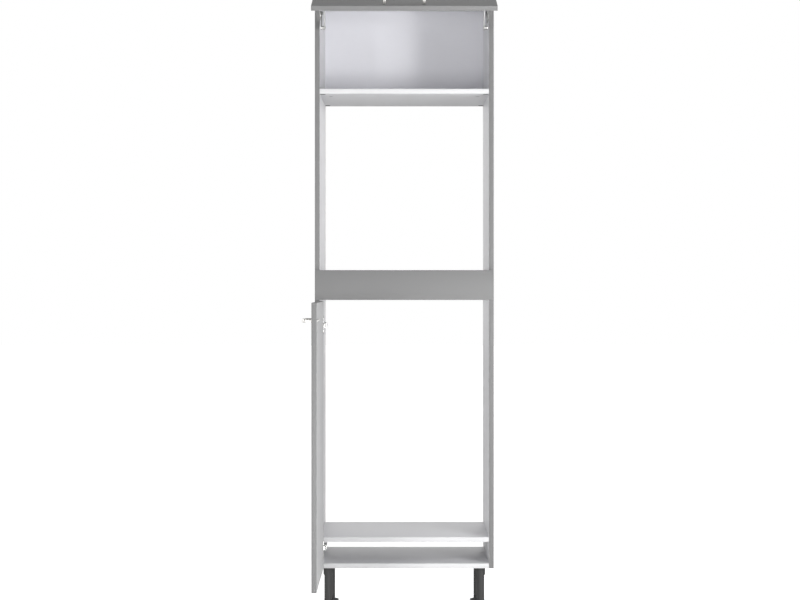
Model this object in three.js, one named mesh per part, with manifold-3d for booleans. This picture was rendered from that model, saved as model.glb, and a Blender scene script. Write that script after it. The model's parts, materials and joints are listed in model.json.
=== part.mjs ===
// Tall kitchen housing: a built-in oven goes in the upper niche and a built-in fridge in the lower one.
// Millimetres, +X right, +Y to the back, +Z up. The origin is on the underside of the carcass, in the
// middle of its width and depth, so the legs reach below it. The door stands open at a right angle and
// the lift-up flap is held open by its two stays.

import * as THREE from 'three';
import { mergeVertices } from 'three/addons/utils/BufferGeometryUtils.js';
import Module from 'manifold-3d';

// Carcass
const CARCASS_WIDTH = 600;
const CARCASS_DEPTH = 566;
const BOARD = 16;
const EDGING = 1;
const VENTED_DEPTH = 470;
const BASE_GAP = 72;
const FRIDGE_NICHE = 880;
const OVEN_NICHE = 592;
const UPPER_NICHE = 326;
const BACK_THICKNESS = 3;
const BACK_INSET = 18;
const GROOVE_DEPTH = 7;

// Fronts
const FRONT_THICKNESS = 16;
const FRONT_GAP = 2;
const SIDE_REVEAL = 1.5;
const REVEAL = 3;
const FASCIA_HEIGHT = 100;
const FLAP_OVERLAP = 11;
const DOOR_OPEN = THREE.MathUtils.degToRad(90);
const FLAP_OPEN = THREE.MathUtils.degToRad(73.7);

// Clearances: between parts that touch or run in each other, and the overrun of a cutter
const FIT = 0.3;
const OVERRUN = 2;

// Shelf connectors: a cam in the board and its bolt in the side
const CAM_RADIUS = 7.5;
const CAM_HEIGHT = 12.5;
const CAM_INSET = 34;
const CAM_SETBACK = 120;
const BOLT_RADIUS = 2.6;
const BOLT_ANCHOR = 10;

// Screws: head radius, head height, shank radius, shank length
const EURO_SCREW = { head: 4.6, cap: 2.4, shank: 3, length: 13 };
const WOOD_SCREW = { head: 3.8, cap: 2.2, shank: 2, length: 13 };
const CUP_SCREW = { head: 3.8, cap: 0.9, shank: 2, length: 13 };
const LEG_SCREW = { head: 3.8, cap: 2.2, shank: 2, length: 14 };
const HANDLE_SCREW = { head: 4, cap: 2.4, shank: 2, length: 24 };
const BACK_SCREW = { head: 3.6, cap: 2, shank: 1.6, length: 16 };

// Legs
const LEG_HEIGHT = 168;
const LEG_FLANGE_RADIUS = 25;
const LEG_FLANGE_THICKNESS = 3;
const LEG_SOCKET_RADIUS = 15.5;
const LEG_SOCKET_HEIGHT = 30;
const LEG_TUBE_RADIUS = 12.5;
const LEG_WALL = 6.2;
const LEG_INSET = 42;
const LEG_FRONT_SETBACK = 70;
const LEG_REAR_SETBACK = 40;
const LEG_SCREW_CIRCLE = 20.3;
const LEG_SCREW_COUNT = 3;
const FOOT_RADIUS = 26;
const FOOT_RIM = 4;
const FOOT_CONE = 4;
const FOOT_NECK = 10;
const FOOT_STEM_LENGTH = 60;

// Concealed hinges, seen in a frame whose x runs to the back from the carcass front,
// y away from the board that carries the hinge, and z along the hinge line
const HINGE_PIN_DEPTH = 8.5;
const HINGE_PIN_OFFSET = 7.5;
const HINGE_REACH = 17;
const HINGE_PIN_RADIUS = 2;
const HINGE_BARREL_RADIUS = 3;
const HINGE_LINK_THICKNESS = 3;
const HINGE_LINK_CLEAR = 17;
const HINGE_LINK_TAIL = 54;
const HINGE_ARM_FRONT = 1;
const HINGE_ARM_BACK = 76;
const HINGE_ARM_WIDTH = 17.4;
const HINGE_ARM_WALL = 1.5;
const HINGE_ARM_HEIGHT = 23;
const HINGE_PLATE_START = 28;
const HINGE_PLATE_END = 78;
const HINGE_PLATE_WIDTH = 16.8;
const HINGE_PLATE_THICKNESS = 3;
const HINGE_SCREW_FIRST = 37;
const HINGE_SCREW_PITCH = 32;
const CUP_RADIUS = 17.5;
const CUP_WALL = 1.5;
const CUP_DEPTH = 11.5;
const CUP_FLOOR = 1.3;
const CUP_RIM = 1.5;
const CUP_EDGE_DISTANCE = 22.5;
const CUP_FLANGE_LENGTH = 62;
const CUP_FLANGE_WIDTH = 16;
const CUP_FLANGE_THICKNESS = 1;
const CUP_FLANGE_START = 1;
const CUP_SCREW_SPACING = 48;
const DOOR_HINGE_LOW = 70;
const DOOR_HINGE_HIGH = 816;
const FLAP_HINGE_INSET = 100;

// Flap stays, placed from the carcass front and from the underside of the top panel
const STAY_PIVOT_SETBACK = 42;
const STAY_PIVOT_DROP = 68;
const STAY_ARM_LENGTH = 98;
const STAY_LINK_LENGTH = 98;
const STAY_BAR_WIDTH = 16;
const STAY_BAR_THICKNESS = 3;
const STAY_PIN_RADIUS = 3;
const STAY_HEAD_RADIUS = 5.5;
const STAY_HEAD_HEIGHT = 1.8;
const STAY_PLATE_THICKNESS = 2.5;
const STAY_PLATE_FRONT = 14;
const STAY_PLATE_BACK = 84;
const STAY_PLATE_TOP_DROP = 16;
const STAY_PLATE_BOTTOM_DROP = 92;
const STAY_PLATE_CORNER = 6;
const STAY_ARM_STANDOFF = 3;
const STAY_LINK_STANDOFF = 8;
const STAY_EAR_STANDOFF = 1.5;
const STAY_SCREW_INSET = 9;
const STAY_HOUSING_DROP = 19;
const STAY_HOUSING_HEIGHT = 34;
const STAY_HOUSING_FRONT = 17;
const STAY_HOUSING_BACK = 81;
const STAY_HOUSING_REACH = 26;
const STAY_HOUSING_CORNER = 5;
const FLAP_PIN_DISTANCE = 72;
const FLAP_PIN_HEIGHT = 12.5;
const BRACKET_LENGTH = 46;
const BRACKET_WIDTH = 20;
const BRACKET_THICKNESS = 2.2;
const BRACKET_EAR_RADIUS = 8;
const BRACKET_HOLE_PLAY = 0.5;
const BRACKET_SCREW_SPACING = 30;

// Fascia brackets
const ANGLE_LEG = 30;
const ANGLE_FLANGE = 22;
const ANGLE_THICKNESS = 2;
const ANGLE_HEIGHT = 32;
const ANGLE_LIFT = 18;
const ANGLE_SCREW_OFFSET = 13;

// Bow handles
const HANDLE_SPACING = 128;
const HANDLE_HEIGHT = 11;
const HANDLE_REACH = 33;
const HANDLE_POST = 10;
const HANDLE_BAR = 8;
const HANDLE_CROWN = 3;
const HANDLE_OUTER_RADIUS = 14;
const HANDLE_INNER_RADIUS = 7;
const DOOR_HANDLE_DROP = 56;
const DOOR_HANDLE_EDGE = 45;
const FLAP_HANDLE_EDGE = 40;

// Back panel screws
const BACK_SCREW_COUNT = 3;
const BACK_SCREW_MARGIN = 60;

// Facets
const SIDES_FINE = 24;
const SIDES_MEDIUM = 16;
const SIDES_SMALL = 10;
const SIDES_SCREW = 6;
const CORNER_SEGMENTS = 3;

// Sizes worked out from the ones above
const HALF_WIDTH = CARCASS_WIDTH / 2;
const HALF_INNER = HALF_WIDTH - BOARD;
const FRONT = -CARCASS_DEPTH / 2;
const BACK = CARCASS_DEPTH / 2;
const FRIDGE_SHELF = BOARD + BASE_GAP;
const OVEN_SHELF = FRIDGE_SHELF + BOARD + FRIDGE_NICHE;
const UPPER_SHELF = OVEN_SHELF + BOARD + OVEN_NICHE;
const TOP_PANEL = UPPER_SHELF + BOARD + UPPER_NICHE;
const CARCASS_HEIGHT = TOP_PANEL + BOARD;
const BACK_FACE = BACK - BACK_INSET - BACK_THICKNESS;
const CLOSED_DEPTH = BACK_FACE - FIT - FRONT;
const FASCIA_TOP = OVEN_SHELF + BOARD;
const FASCIA_LOW = FASCIA_TOP - FASCIA_HEIGHT;
const DOOR_LOW = REVEAL;
const DOOR_TOP = FASCIA_LOW - REVEAL;
const FLAP_LOW = UPPER_SHELF + BOARD - FLAP_OVERLAP;
const FLAP_TOP = CARCASS_HEIGHT - SIDE_REVEAL;
const FRONT_HALF = HALF_WIDTH - SIDE_REVEAL;
const LEAF_INNER = HINGE_PIN_DEPTH - FRONT_GAP;
const LEAF_OUTER = LEAF_INNER - FRONT_THICKNESS;
const LEAF_EDGE = SIDE_REVEAL - BOARD - HINGE_PIN_OFFSET;
const CUP_CENTRE = LEAF_EDGE + CUP_EDGE_DISTANCE;
const HINGE_LINK_WIDTH = HINGE_ARM_WIDTH - 2 * HINGE_ARM_WALL - 2 * FIT;

const wasm = await Module();
wasm.setup();

const FINISH = {
  white: new THREE.MeshStandardMaterial({ color: 0xe9e9ea, roughness: 0.45, metalness: 0 }),
  grey: new THREE.MeshStandardMaterial({ color: 0x98989a, roughness: 0.55, metalness: 0 }),
  back: new THREE.MeshStandardMaterial({ color: 0xdcdce0, roughness: 0.5, metalness: 0 }),
  black: new THREE.MeshStandardMaterial({ color: 0x2b2b2c, roughness: 0.6, metalness: 0 }),
  steel: new THREE.MeshStandardMaterial({ color: 0xb9b9ba, roughness: 0.35, metalness: 0.9 }),
  zinc: new THREE.MeshStandardMaterial({ color: 0xa9abad, roughness: 0.4, metalness: 0.8 }),
};

const housing = new THREE.Group();

// A closed, outward-facing copy of a geometry with its shared corners merged
function weld(geometry) {
  const bare = geometry.clone();
  bare.deleteAttribute('normal');
  bare.deleteAttribute('uv');
  const merged = mergeVertices(bare);
  const at = merged.attributes.position;
  const a = new THREE.Vector3();
  const b = new THREE.Vector3();
  const c = new THREE.Vector3();
  const kept = [];
  let volume = 0;
  for (let i = 0; i < merged.index.count; i += 3) {
    const corners = [merged.index.getX(i), merged.index.getX(i + 1), merged.index.getX(i + 2)];
    if (new Set(corners).size === corners.length) {
      a.fromBufferAttribute(at, corners[0]);
      b.fromBufferAttribute(at, corners[1]);
      c.fromBufferAttribute(at, corners[2]);
      volume += a.dot(b.cross(c));
      kept.push(corners);
    }
  }
  const faces = volume < 0 ? kept.map((face) => face.reverse()) : kept;
  merged.setIndex(faces.flat());
  return merged;
}

function solidOf(geometry) {
  const welded = weld(geometry);
  const vertProperties = Float32Array.from(welded.attributes.position.array);
  const triVerts = Uint32Array.from(welded.index.array);
  return new wasm.Manifold(new wasm.Mesh({ numProp: 3, vertProperties, triVerts }));
}

function geometryOf(solid) {
  const shape = solid.getMesh();
  const geometry = new THREE.BufferGeometry();
  geometry.setAttribute('position', new THREE.BufferAttribute(Float32Array.from(shape.vertProperties), 3));
  geometry.setIndex(Array.from(shape.triVerts));
  return geometry;
}

function fuse(pieces) {
  return geometryOf(pieces.map(solidOf).reduce((whole, piece) => whole.add(piece)));
}

function carve(body, cutters) {
  return geometryOf(cutters.map(solidOf).reduce((whole, cutter) => whole.subtract(cutter), solidOf(body)));
}

// A box whose faces lie exactly at the given places
function block(x0, x1, y0, y1, z0, z1) {
  const geometry = new THREE.BoxGeometry(1, 1, 1);
  const at = geometry.attributes.position;
  for (let i = 0; i < at.count; i += 1) {
    const x = at.getX(i) < 0 ? x0 : x1;
    const y = at.getY(i) < 0 ? y0 : y1;
    const z = at.getZ(i) < 0 ? z0 : z1;
    at.setXYZ(i, x, y, z);
  }
  return geometry;
}

// A turned solid about Z from a profile of [radius, height] points
function turned(profile, sides) {
  const points = profile.map(([radius, height]) => new THREE.Vector2(radius, height));
  return new THREE.LatheGeometry(points, sides).rotateX(Math.PI / 2);
}

function rod(radius, low, high, sides) {
  return turned([[0, low], [radius, low], [radius, high], [0, high]], sides);
}

// Places a geometry made about Z so that its Z axis runs along a direction from a point
function aim(geometry, point, direction) {
  const turn = new THREE.Quaternion().setFromUnitVectors(new THREE.Vector3(0, 0, 1), direction);
  return geometry.clone().applyQuaternion(turn).translate(point.x, point.y, point.z);
}

function rounded(width, height, radius) {
  const shape = new THREE.Shape();
  const w = width / 2;
  const h = height / 2;
  shape.moveTo(-w + radius, -h);
  shape.lineTo(w - radius, -h);
  shape.absarc(w - radius, -h + radius, radius, -Math.PI / 2, 0, false);
  shape.absarc(w - radius, h - radius, radius, 0, Math.PI / 2, false);
  shape.absarc(-w + radius, h - radius, radius, Math.PI / 2, Math.PI, false);
  shape.absarc(-w + radius, -h + radius, radius, Math.PI, Math.PI * 1.5, false);
  return shape;
}

function extrude(shape, depth, segments = CORNER_SEGMENTS) {
  return new THREE.ExtrudeGeometry(shape, { depth, bevelEnabled: false, curveSegments: segments });
}

function addMesh(name, geometry, finish, parent = housing) {
  const mesh = new THREE.Mesh(weld(geometry), finish);
  mesh.name = name;
  parent.add(mesh);
  return mesh;
}

// A screw along Z whose head stands on zero and reaches a little into what it is joined to,
// and the hole that its shank needs in the board
function screw(size) {
  const profile = [[0, -size.length], [size.shank, -size.length], [size.shank, -FIT], [size.head, -FIT]];
  return turned([...profile, [size.head, size.cap], [0, size.cap]], SIDES_SCREW);
}

function screwHole(size) {
  return rod(size.shank + FIT, -size.length - FIT, size.cap + OVERRUN, SIDES_SCREW);
}

const RIGHT = new THREE.Vector3(1, 0, 0);
const BACKWARD = new THREE.Vector3(0, 1, 0);
const UP = new THREE.Vector3(0, 0, 1);
const LEFT = RIGHT.clone().negate();
const FORWARD = BACKWARD.clone().negate();
const DOWN = UP.clone().negate();

// Holes that other pieces need in each board, filled in as those pieces are placed
const BOARDS = ['left', 'right', 'bottom', 'fridge', 'oven', 'upper', 'top', 'fascia'];
const holes = Object.fromEntries(BOARDS.map((board) => [board, []]));

const SIDES = [
  { name: 'left', sign: -1, inward: RIGHT },
  { name: 'right', sign: 1, inward: LEFT },
];

const SHELVES = [
  { name: 'bottom_panel', key: 'bottom', low: 0, depth: VENTED_DEPTH, camBelow: true },
  { name: 'fridge_shelf', key: 'fridge', low: FRIDGE_SHELF, depth: VENTED_DEPTH, camBelow: true },
  { name: 'oven_shelf', key: 'oven', low: OVEN_SHELF, depth: VENTED_DEPTH, camBelow: true },
  { name: 'upper_shelf', key: 'upper', low: UPPER_SHELF, depth: CLOSED_DEPTH, camBelow: true },
  { name: 'top_panel', key: 'top', low: TOP_PANEL, depth: CLOSED_DEPTH, camBelow: false },
];

// One cam connector at each board end: its bolt stands in the side and runs into the cam in the board
function addConnectors(shelf) {
  const middle = shelf.low + BOARD / 2;
  const camLow = shelf.camBelow ? shelf.low : shelf.low + BOARD - CAM_HEIGHT;
  const pocketLow = shelf.camBelow ? shelf.low - OVERRUN : camLow - FIT;
  const pocketHigh = shelf.camBelow ? shelf.low + CAM_HEIGHT + FIT : shelf.low + BOARD + OVERRUN;
  const y = FRONT + CAM_SETBACK;
  for (const side of SIDES) {
    const face = new THREE.Vector3(side.sign * HALF_INNER, y, middle);
    const x = side.sign * (HALF_INNER - CAM_INSET);
    const bore = aim(rod(BOLT_RADIUS + FIT, -OVERRUN, CAM_INSET, SIDES_SCREW), face, side.inward);
    const pocket = rod(CAM_RADIUS + FIT, pocketLow, pocketHigh, SIDES_SMALL).translate(x, y, 0);
    const cam = rod(CAM_RADIUS, camLow, camLow + CAM_HEIGHT, SIDES_SMALL).translate(x, y, 0);
    const anchor = rod(BOLT_RADIUS + FIT, -BOLT_ANCHOR - FIT, OVERRUN, SIDES_SCREW);
    const bolt = rod(BOLT_RADIUS, -BOLT_ANCHOR, CAM_INSET, SIDES_SCREW);
    holes[shelf.key].push(bore, pocket);
    holes[side.name].push(aim(anchor, face, side.inward));
    const connector = fuse([cam, aim(bolt, face, side.inward)]);
    addMesh(`connector_${shelf.key}_${side.name}`, connector, FINISH.zinc);
  }
}

// Adjustable legs under the bottom panel
function legShape(screws) {
  const tubeLow = -LEG_HEIGHT + FOOT_RIM + FOOT_CONE + FOOT_NECK + FIT;
  const bore = LEG_TUBE_RADIUS - LEG_WALL;
  const boreTop = tubeLow + FOOT_STEM_LENGTH + FIT;
  const profile = [
    [0, -FIT],
    [LEG_FLANGE_RADIUS, -FIT],
    [LEG_FLANGE_RADIUS, -FIT - LEG_FLANGE_THICKNESS],
    [LEG_SOCKET_RADIUS, -FIT - LEG_FLANGE_THICKNESS],
    [LEG_SOCKET_RADIUS, -LEG_SOCKET_HEIGHT],
    [LEG_TUBE_RADIUS, -LEG_SOCKET_HEIGHT],
    [LEG_TUBE_RADIUS, tubeLow],
    [bore, tubeLow],
    [bore, boreTop],
    [0, boreTop],
  ];
  return fuse([turned(profile, SIDES_MEDIUM), ...screws]);
}

function footShape() {
  const floor = -LEG_HEIGHT;
  const neckLow = floor + FOOT_RIM + FOOT_CONE;
  const neckTop = neckLow + FOOT_NECK;
  const stem = LEG_TUBE_RADIUS - LEG_WALL - FIT;
  const profile = [
    [0, floor],
    [FOOT_RADIUS, floor],
    [FOOT_RADIUS, floor + FOOT_RIM],
    [LEG_TUBE_RADIUS, neckLow],
    [LEG_TUBE_RADIUS, neckTop],
    [stem, neckTop],
    [stem, neckTop + FOOT_STEM_LENGTH - FIT],
    [0, neckTop + FOOT_STEM_LENGTH - FIT],
  ];
  return turned(profile, SIDES_MEDIUM);
}

function addLegs() {
  const rows = [
    { name: 'front', y: FRONT + LEG_FRONT_SETBACK },
    { name: 'rear', y: FRONT + VENTED_DEPTH - LEG_REAR_SETBACK },
  ];
  for (const row of rows) {
    for (const side of SIDES) {
      const leg = new THREE.Group();
      leg.position.set(side.sign * (HALF_WIDTH - LEG_INSET), row.y, 0);
      housing.add(leg);
      const screws = [];
      for (let i = 0; i < LEG_SCREW_COUNT; i += 1) {
        const turn = (i * Math.PI * 2) / LEG_SCREW_COUNT + Math.PI / 2;
        const x = LEG_SCREW_CIRCLE * Math.cos(turn);
        const y = LEG_SCREW_CIRCLE * Math.sin(turn);
        const seat = new THREE.Vector3(x, y, -FIT - LEG_FLANGE_THICKNESS);
        screws.push(aim(screw(LEG_SCREW), seat, DOWN));
        holes.bottom.push(aim(screwHole(LEG_SCREW), seat.add(leg.position), DOWN));
      }
      addMesh(`leg_${row.name}_${side.name}`, legShape(screws), FINISH.black, leg);
      addMesh(`foot_${row.name}_${side.name}`, footShape(), FINISH.black, leg);
    }
  }
}

// A hinge frame, and inside it the travel of the links and the leaf turned about the hinge pin
function hingeFrame(origin, away, opening) {
  const frame = new THREE.Group();
  const along = new THREE.Vector3().crossVectors(BACKWARD, away);
  frame.quaternion.setFromRotationMatrix(new THREE.Matrix4().makeBasis(BACKWARD, away, along));
  frame.position.copy(origin);
  const travel = new THREE.Group();
  travel.position.set(-HINGE_PIN_DEPTH - HINGE_REACH * opening, HINGE_PIN_OFFSET, 0);
  const leaf = new THREE.Group();
  leaf.rotation.z = opening;
  travel.add(leaf);
  frame.add(travel);
  housing.add(frame);
  housing.updateMatrixWorld(true);
  return { frame, travel, leaf };
}

function hingePlate(z) {
  const half = HINGE_PLATE_WIDTH / 2;
  const body = block(HINGE_PLATE_START, HINGE_PLATE_END, FIT, HINGE_PLATE_THICKNESS, z - half, z + half);
  return fuse([body, ...plateScrewSeats(z).map((seat) => aim(screw(EURO_SCREW), seat, BACKWARD))]);
}

function plateScrewSeats(z) {
  const places = [HINGE_SCREW_FIRST, HINGE_SCREW_FIRST + HINGE_SCREW_PITCH];
  return places.map((x) => new THREE.Vector3(x, HINGE_PLATE_THICKNESS, z));
}

function hingeArm(z) {
  const half = HINGE_ARM_WIDTH / 2;
  const low = HINGE_PLATE_THICKNESS + FIT;
  const shell = block(HINGE_ARM_FRONT, HINGE_ARM_BACK, low, HINGE_ARM_HEIGHT, z - half, z + half);
  const inner = half - HINGE_ARM_WALL;
  const top = HINGE_ARM_HEIGHT - HINGE_ARM_WALL;
  const end = HINGE_ARM_BACK - HINGE_ARM_WALL;
  const room = block(HINGE_ARM_FRONT - OVERRUN, end, low - OVERRUN, top, z - inner, z + inner);
  return carve(shell, [room]);
}

// Cranked bar that slides out of the arm and carries the pin in the cup
function hingeLink(z) {
  const half = HINGE_LINK_WIDTH / 2;
  const low = HINGE_LINK_CLEAR - HINGE_PIN_OFFSET;
  const high = low + HINGE_LINK_THICKNESS;
  const step = HINGE_LINK_THICKNESS / 2;
  const bar = block(-step, HINGE_LINK_TAIL, low, high, z - half, z + half);
  const crank = block(-step, step, 0, high - step, z - half, z + half);
  const barrel = rod(HINGE_BARREL_RADIUS, z - half, z + half, SIDES_SMALL);
  const pinHalf = CUP_RADIUS - CUP_WALL - 2 * FIT;
  const pin = rod(HINGE_PIN_RADIUS, z - pinHalf, z + pinHalf, SIDES_SMALL);
  return fuse([bar, crank, barrel, pin]);
}

function hingeCup(z) {
  const face = LEAF_INNER + FIT;
  const rim = face + CUP_FLANGE_THICKNESS;
  const low = LEAF_INNER - CUP_DEPTH;
  const inner = CUP_RADIUS - CUP_WALL;
  const outer = CUP_RADIUS + CUP_RIM;
  const profile = [
    [0, low],
    [CUP_RADIUS, low],
    [CUP_RADIUS, face],
    [outer, face],
    [outer, rim],
    [inner, rim],
    [inner, low + CUP_FLOOR],
    [0, low + CUP_FLOOR],
  ];
  const cup = aim(turned(profile, SIDES_FINE), new THREE.Vector3(0, CUP_CENTRE, z), RIGHT);
  const half = CUP_FLANGE_LENGTH / 2;
  const start = CUP_CENTRE + CUP_FLANGE_START;
  const strap = block(face, rim, start, start + CUP_FLANGE_WIDTH, z - half, z + half);
  const bore = rod(inner, low + CUP_FLOOR, rim + OVERRUN, SIDES_FINE);
  const mouth = aim(bore, new THREE.Vector3(0, CUP_CENTRE, z), RIGHT);
  const screws = cupScrewSeats(z).map((seat) => aim(screw(CUP_SCREW), seat, RIGHT));
  return carve(fuse([cup, strap, ...screws]), [mouth]);
}

function cupPocket(z) {
  const low = LEAF_INNER - CUP_DEPTH - FIT;
  const pocket = rod(CUP_RADIUS + FIT, low, LEAF_INNER + OVERRUN, SIDES_FINE);
  return aim(pocket, new THREE.Vector3(0, CUP_CENTRE, z), RIGHT);
}

function cupScrewSeats(z) {
  const y = CUP_CENTRE + CUP_FLANGE_START + CUP_FLANGE_WIDTH / 2;
  const x = LEAF_INNER + FIT + CUP_FLANGE_THICKNESS;
  return [-1, 1].map((sign) => new THREE.Vector3(x, y, z + (sign * CUP_SCREW_SPACING) / 2));
}

// All hinges of one leaf. boardHoles and leafHoles take the holes that they need.
function addHinges(label, rig, spots, boardHoles, leafHoles) {
  for (const { name, z } of spots) {
    for (const seat of plateScrewSeats(z)) {
      boardHoles.push(aim(screwHole(EURO_SCREW), seat, BACKWARD).applyMatrix4(rig.frame.matrixWorld));
    }
    leafHoles.push(cupPocket(z), ...cupScrewSeats(z).map((seat) => aim(screwHole(CUP_SCREW), seat, RIGHT)));
    addMesh(`${label}_hinge_plate_${name}`, hingePlate(z), FINISH.steel, rig.frame);
    addMesh(`${label}_hinge_arm_${name}`, hingeArm(z), FINISH.steel, rig.frame);
    addMesh(`${label}_hinge_link_${name}`, hingeLink(z), FINISH.steel, rig.travel);
    addMesh(`${label}_hinge_cup_${name}`, hingeCup(z), FINISH.steel, rig.leaf);
  }
}

// Bow handle: its posts stand on y = 0, the bow reaches to +Y and its width lies along Z
function handleShape() {
  const half = HANDLE_SPACING / 2 + HANDLE_POST / 2;
  const gap = HANDLE_SPACING / 2 - HANDLE_POST / 2;
  const shoulder = HANDLE_REACH - HANDLE_CROWN;
  const inside = shoulder - HANDLE_BAR;
  const shape = new THREE.Shape();
  shape.moveTo(-half, FIT);
  shape.lineTo(-gap, FIT);
  shape.lineTo(-gap, inside - HANDLE_INNER_RADIUS);
  shape.quadraticCurveTo(-gap, inside, -gap + HANDLE_INNER_RADIUS, inside);
  shape.quadraticCurveTo(0, inside + HANDLE_CROWN, gap - HANDLE_INNER_RADIUS, inside);
  shape.quadraticCurveTo(gap, inside, gap, inside - HANDLE_INNER_RADIUS);
  shape.lineTo(gap, FIT);
  shape.lineTo(half, FIT);
  shape.lineTo(half, shoulder - HANDLE_OUTER_RADIUS);
  shape.quadraticCurveTo(half, shoulder, half - HANDLE_OUTER_RADIUS, shoulder);
  shape.quadraticCurveTo(0, HANDLE_REACH + HANDLE_CROWN, -half + HANDLE_OUTER_RADIUS, shoulder);
  shape.quadraticCurveTo(-half, shoulder, -half, shoulder - HANDLE_OUTER_RADIUS);
  shape.lineTo(-half, FIT);
  return extrude(shape, HANDLE_HEIGHT, 2 * CORNER_SEGMENTS).translate(0, 0, -HANDLE_HEIGHT / 2);
}

// A handle on a leaf: centre of its holes on the outer face, and the direction along the handle
function addHandle(name, leaf, centre, along, leafHoles) {
  const mount = new THREE.Group();
  const across = new THREE.Vector3().crossVectors(along, LEFT);
  mount.quaternion.setFromRotationMatrix(new THREE.Matrix4().makeBasis(along, LEFT, across));
  mount.position.copy(centre);
  mount.updateMatrix();
  leaf.add(mount);
  const screws = [];
  for (const sign of [-1, 1]) {
    const seat = new THREE.Vector3((sign * HANDLE_SPACING) / 2, -FRONT_THICKNESS, 0);
    leafHoles.push(aim(screwHole(HANDLE_SCREW), seat, FORWARD).applyMatrix4(mount.matrix));
    seat.y -= 2 * FIT;
    screws.push(aim(screw(HANDLE_SCREW), seat, FORWARD));
  }
  addMesh(name, fuse([handleShape(), ...screws]), FINISH.zinc, mount);
}

// Where the stay's elbow lies: one arm length from the pivot and one link length from the flap pin
function elbow(pivot, pin) {
  const reach = new THREE.Vector2().subVectors(pin, pivot);
  const distance = reach.length();
  const square = STAY_ARM_LENGTH ** 2 - STAY_LINK_LENGTH ** 2 + distance ** 2;
  const along = square / (2 * distance);
  const across = Math.sqrt(STAY_ARM_LENGTH ** 2 - along ** 2);
  const unit = reach.divideScalar(distance);
  const normal = new THREE.Vector2(-unit.y, unit.x);
  return pivot.clone().addScaledVector(unit, along).addScaledVector(normal, across);
}

// A flat bar with round ends from (0, 0) to (length, 0), drilled at its holes
function barShape(length, holeRadii) {
  const radius = STAY_BAR_WIDTH / 2;
  const shape = new THREE.Shape();
  shape.absarc(0, 0, radius, Math.PI / 2, Math.PI * 1.5, false);
  shape.absarc(length, 0, radius, -Math.PI / 2, Math.PI / 2, false);
  holeRadii.forEach((hole, i) => {
    if (hole > 0) {
      const path = new THREE.Path();
      path.absarc(i * length, 0, hole, 0, Math.PI * 2, true);
      shape.holes.push(path);
    }
  });
  return extrude(shape, STAY_BAR_THICKNESS, SIDES_SMALL);
}

// The stay's frame lies in the corner of a side and the top panel: x to the back, y up, z to the right.
// Layers are counted from the side's inner face towards the middle of the cabinet.
function stayFrame(side) {
  const frame = new THREE.Group();
  frame.quaternion.setFromRotationMatrix(new THREE.Matrix4().makeBasis(BACKWARD, UP, RIGHT));
  frame.position.set(side.sign * HALF_INNER, FRONT, TOP_PANEL);
  housing.add(frame);
  housing.updateMatrixWorld(true);
  return frame;
}

function layered(side, low, high) {
  return side.sign < 0 ? [low, high] : [-high, -low];
}

function stayRod(side, radius, low, high, at) {
  const [start, end] = layered(side, low, high);
  return rod(radius, start, end, SIDES_SMALL).translate(at.x, at.y, 0);
}

// A rivet: a boss up to the piece that it carries, an axle through that piece and a cap beyond it
function rivet(side, at, start, pieceLow, pieceHigh) {
  const cap = pieceHigh + FIT;
  return [
    stayRod(side, STAY_HEAD_RADIUS, start, pieceLow - FIT, at),
    stayRod(side, STAY_PIN_RADIUS, start, cap + STAY_HEAD_HEIGHT / 2, at),
    stayRod(side, STAY_HEAD_RADIUS, cap, cap + STAY_HEAD_HEIGHT, at),
  ];
}

function stayBar(side, low, from, to, holeRadii) {
  const reach = new THREE.Vector2().subVectors(to, from);
  const [start] = layered(side, low, low + STAY_BAR_THICKNESS);
  return barShape(reach.length(), holeRadii).rotateZ(reach.angle()).translate(from.x, from.y, start);
}

function stayPanel(side, width, height, corner, low, high, centre) {
  const [start, end] = layered(side, low, high);
  return extrude(rounded(width, height, corner), end - start).translate(centre.x, centre.y, start);
}

const ARM_LOW = STAY_PLATE_THICKNESS + STAY_ARM_STANDOFF;
const ARM_HIGH = ARM_LOW + STAY_BAR_THICKNESS;
const LINK_LOW = ARM_HIGH + STAY_LINK_STANDOFF;
const LINK_HIGH = LINK_LOW + STAY_BAR_THICKNESS;
const EAR_LOW = LINK_HIGH + STAY_EAR_STANDOFF;
const EAR_HIGH = EAR_LOW + BRACKET_THICKNESS;

// Base plate with the pivot of the arm and the housing of its friction unit, screwed to the side
function addStayBase(side, frame, pivot) {
  const width = STAY_PLATE_BACK - STAY_PLATE_FRONT;
  const height = STAY_PLATE_BOTTOM_DROP - STAY_PLATE_TOP_DROP;
  const centre = new THREE.Vector2(STAY_PLATE_FRONT + width / 2, -STAY_PLATE_TOP_DROP - height / 2);
  const plate = stayPanel(side, width, height, STAY_PLATE_CORNER, FIT, STAY_PLATE_THICKNESS, centre);
  const out = new THREE.Vector3(0, 0, -side.sign);
  const screws = [];
  for (const u of [-1, 1]) {
    for (const v of [-1, 1]) {
      const x = centre.x + u * (width / 2 - STAY_SCREW_INSET);
      const y = centre.y + v * (height / 2 - STAY_SCREW_INSET);
      const seat = new THREE.Vector3(x, y, -side.sign * STAY_PLATE_THICKNESS);
      screws.push(aim(screw(WOOD_SCREW), seat, out));
      holes[side.name].push(aim(screwHole(WOOD_SCREW), seat, out).applyMatrix4(frame.matrixWorld));
    }
  }
  const start = (FIT + STAY_PLATE_THICKNESS) / 2;
  const axle = rivet(side, pivot, start, ARM_LOW, ARM_HIGH);
  const base = fuse([plate, stayHousing(side, start), ...axle, ...screws]);
  addMesh(`stay_base_${side.name}`, base, FINISH.steel, frame);
}

function stayHousing(side, low) {
  const width = STAY_HOUSING_BACK - STAY_HOUSING_FRONT;
  const height = STAY_HOUSING_HEIGHT;
  const centre = new THREE.Vector2(STAY_HOUSING_FRONT + width / 2, -STAY_HOUSING_DROP - height / 2);
  return stayPanel(side, width, height, STAY_HOUSING_CORNER, low, STAY_HOUSING_REACH, centre);
}

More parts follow.
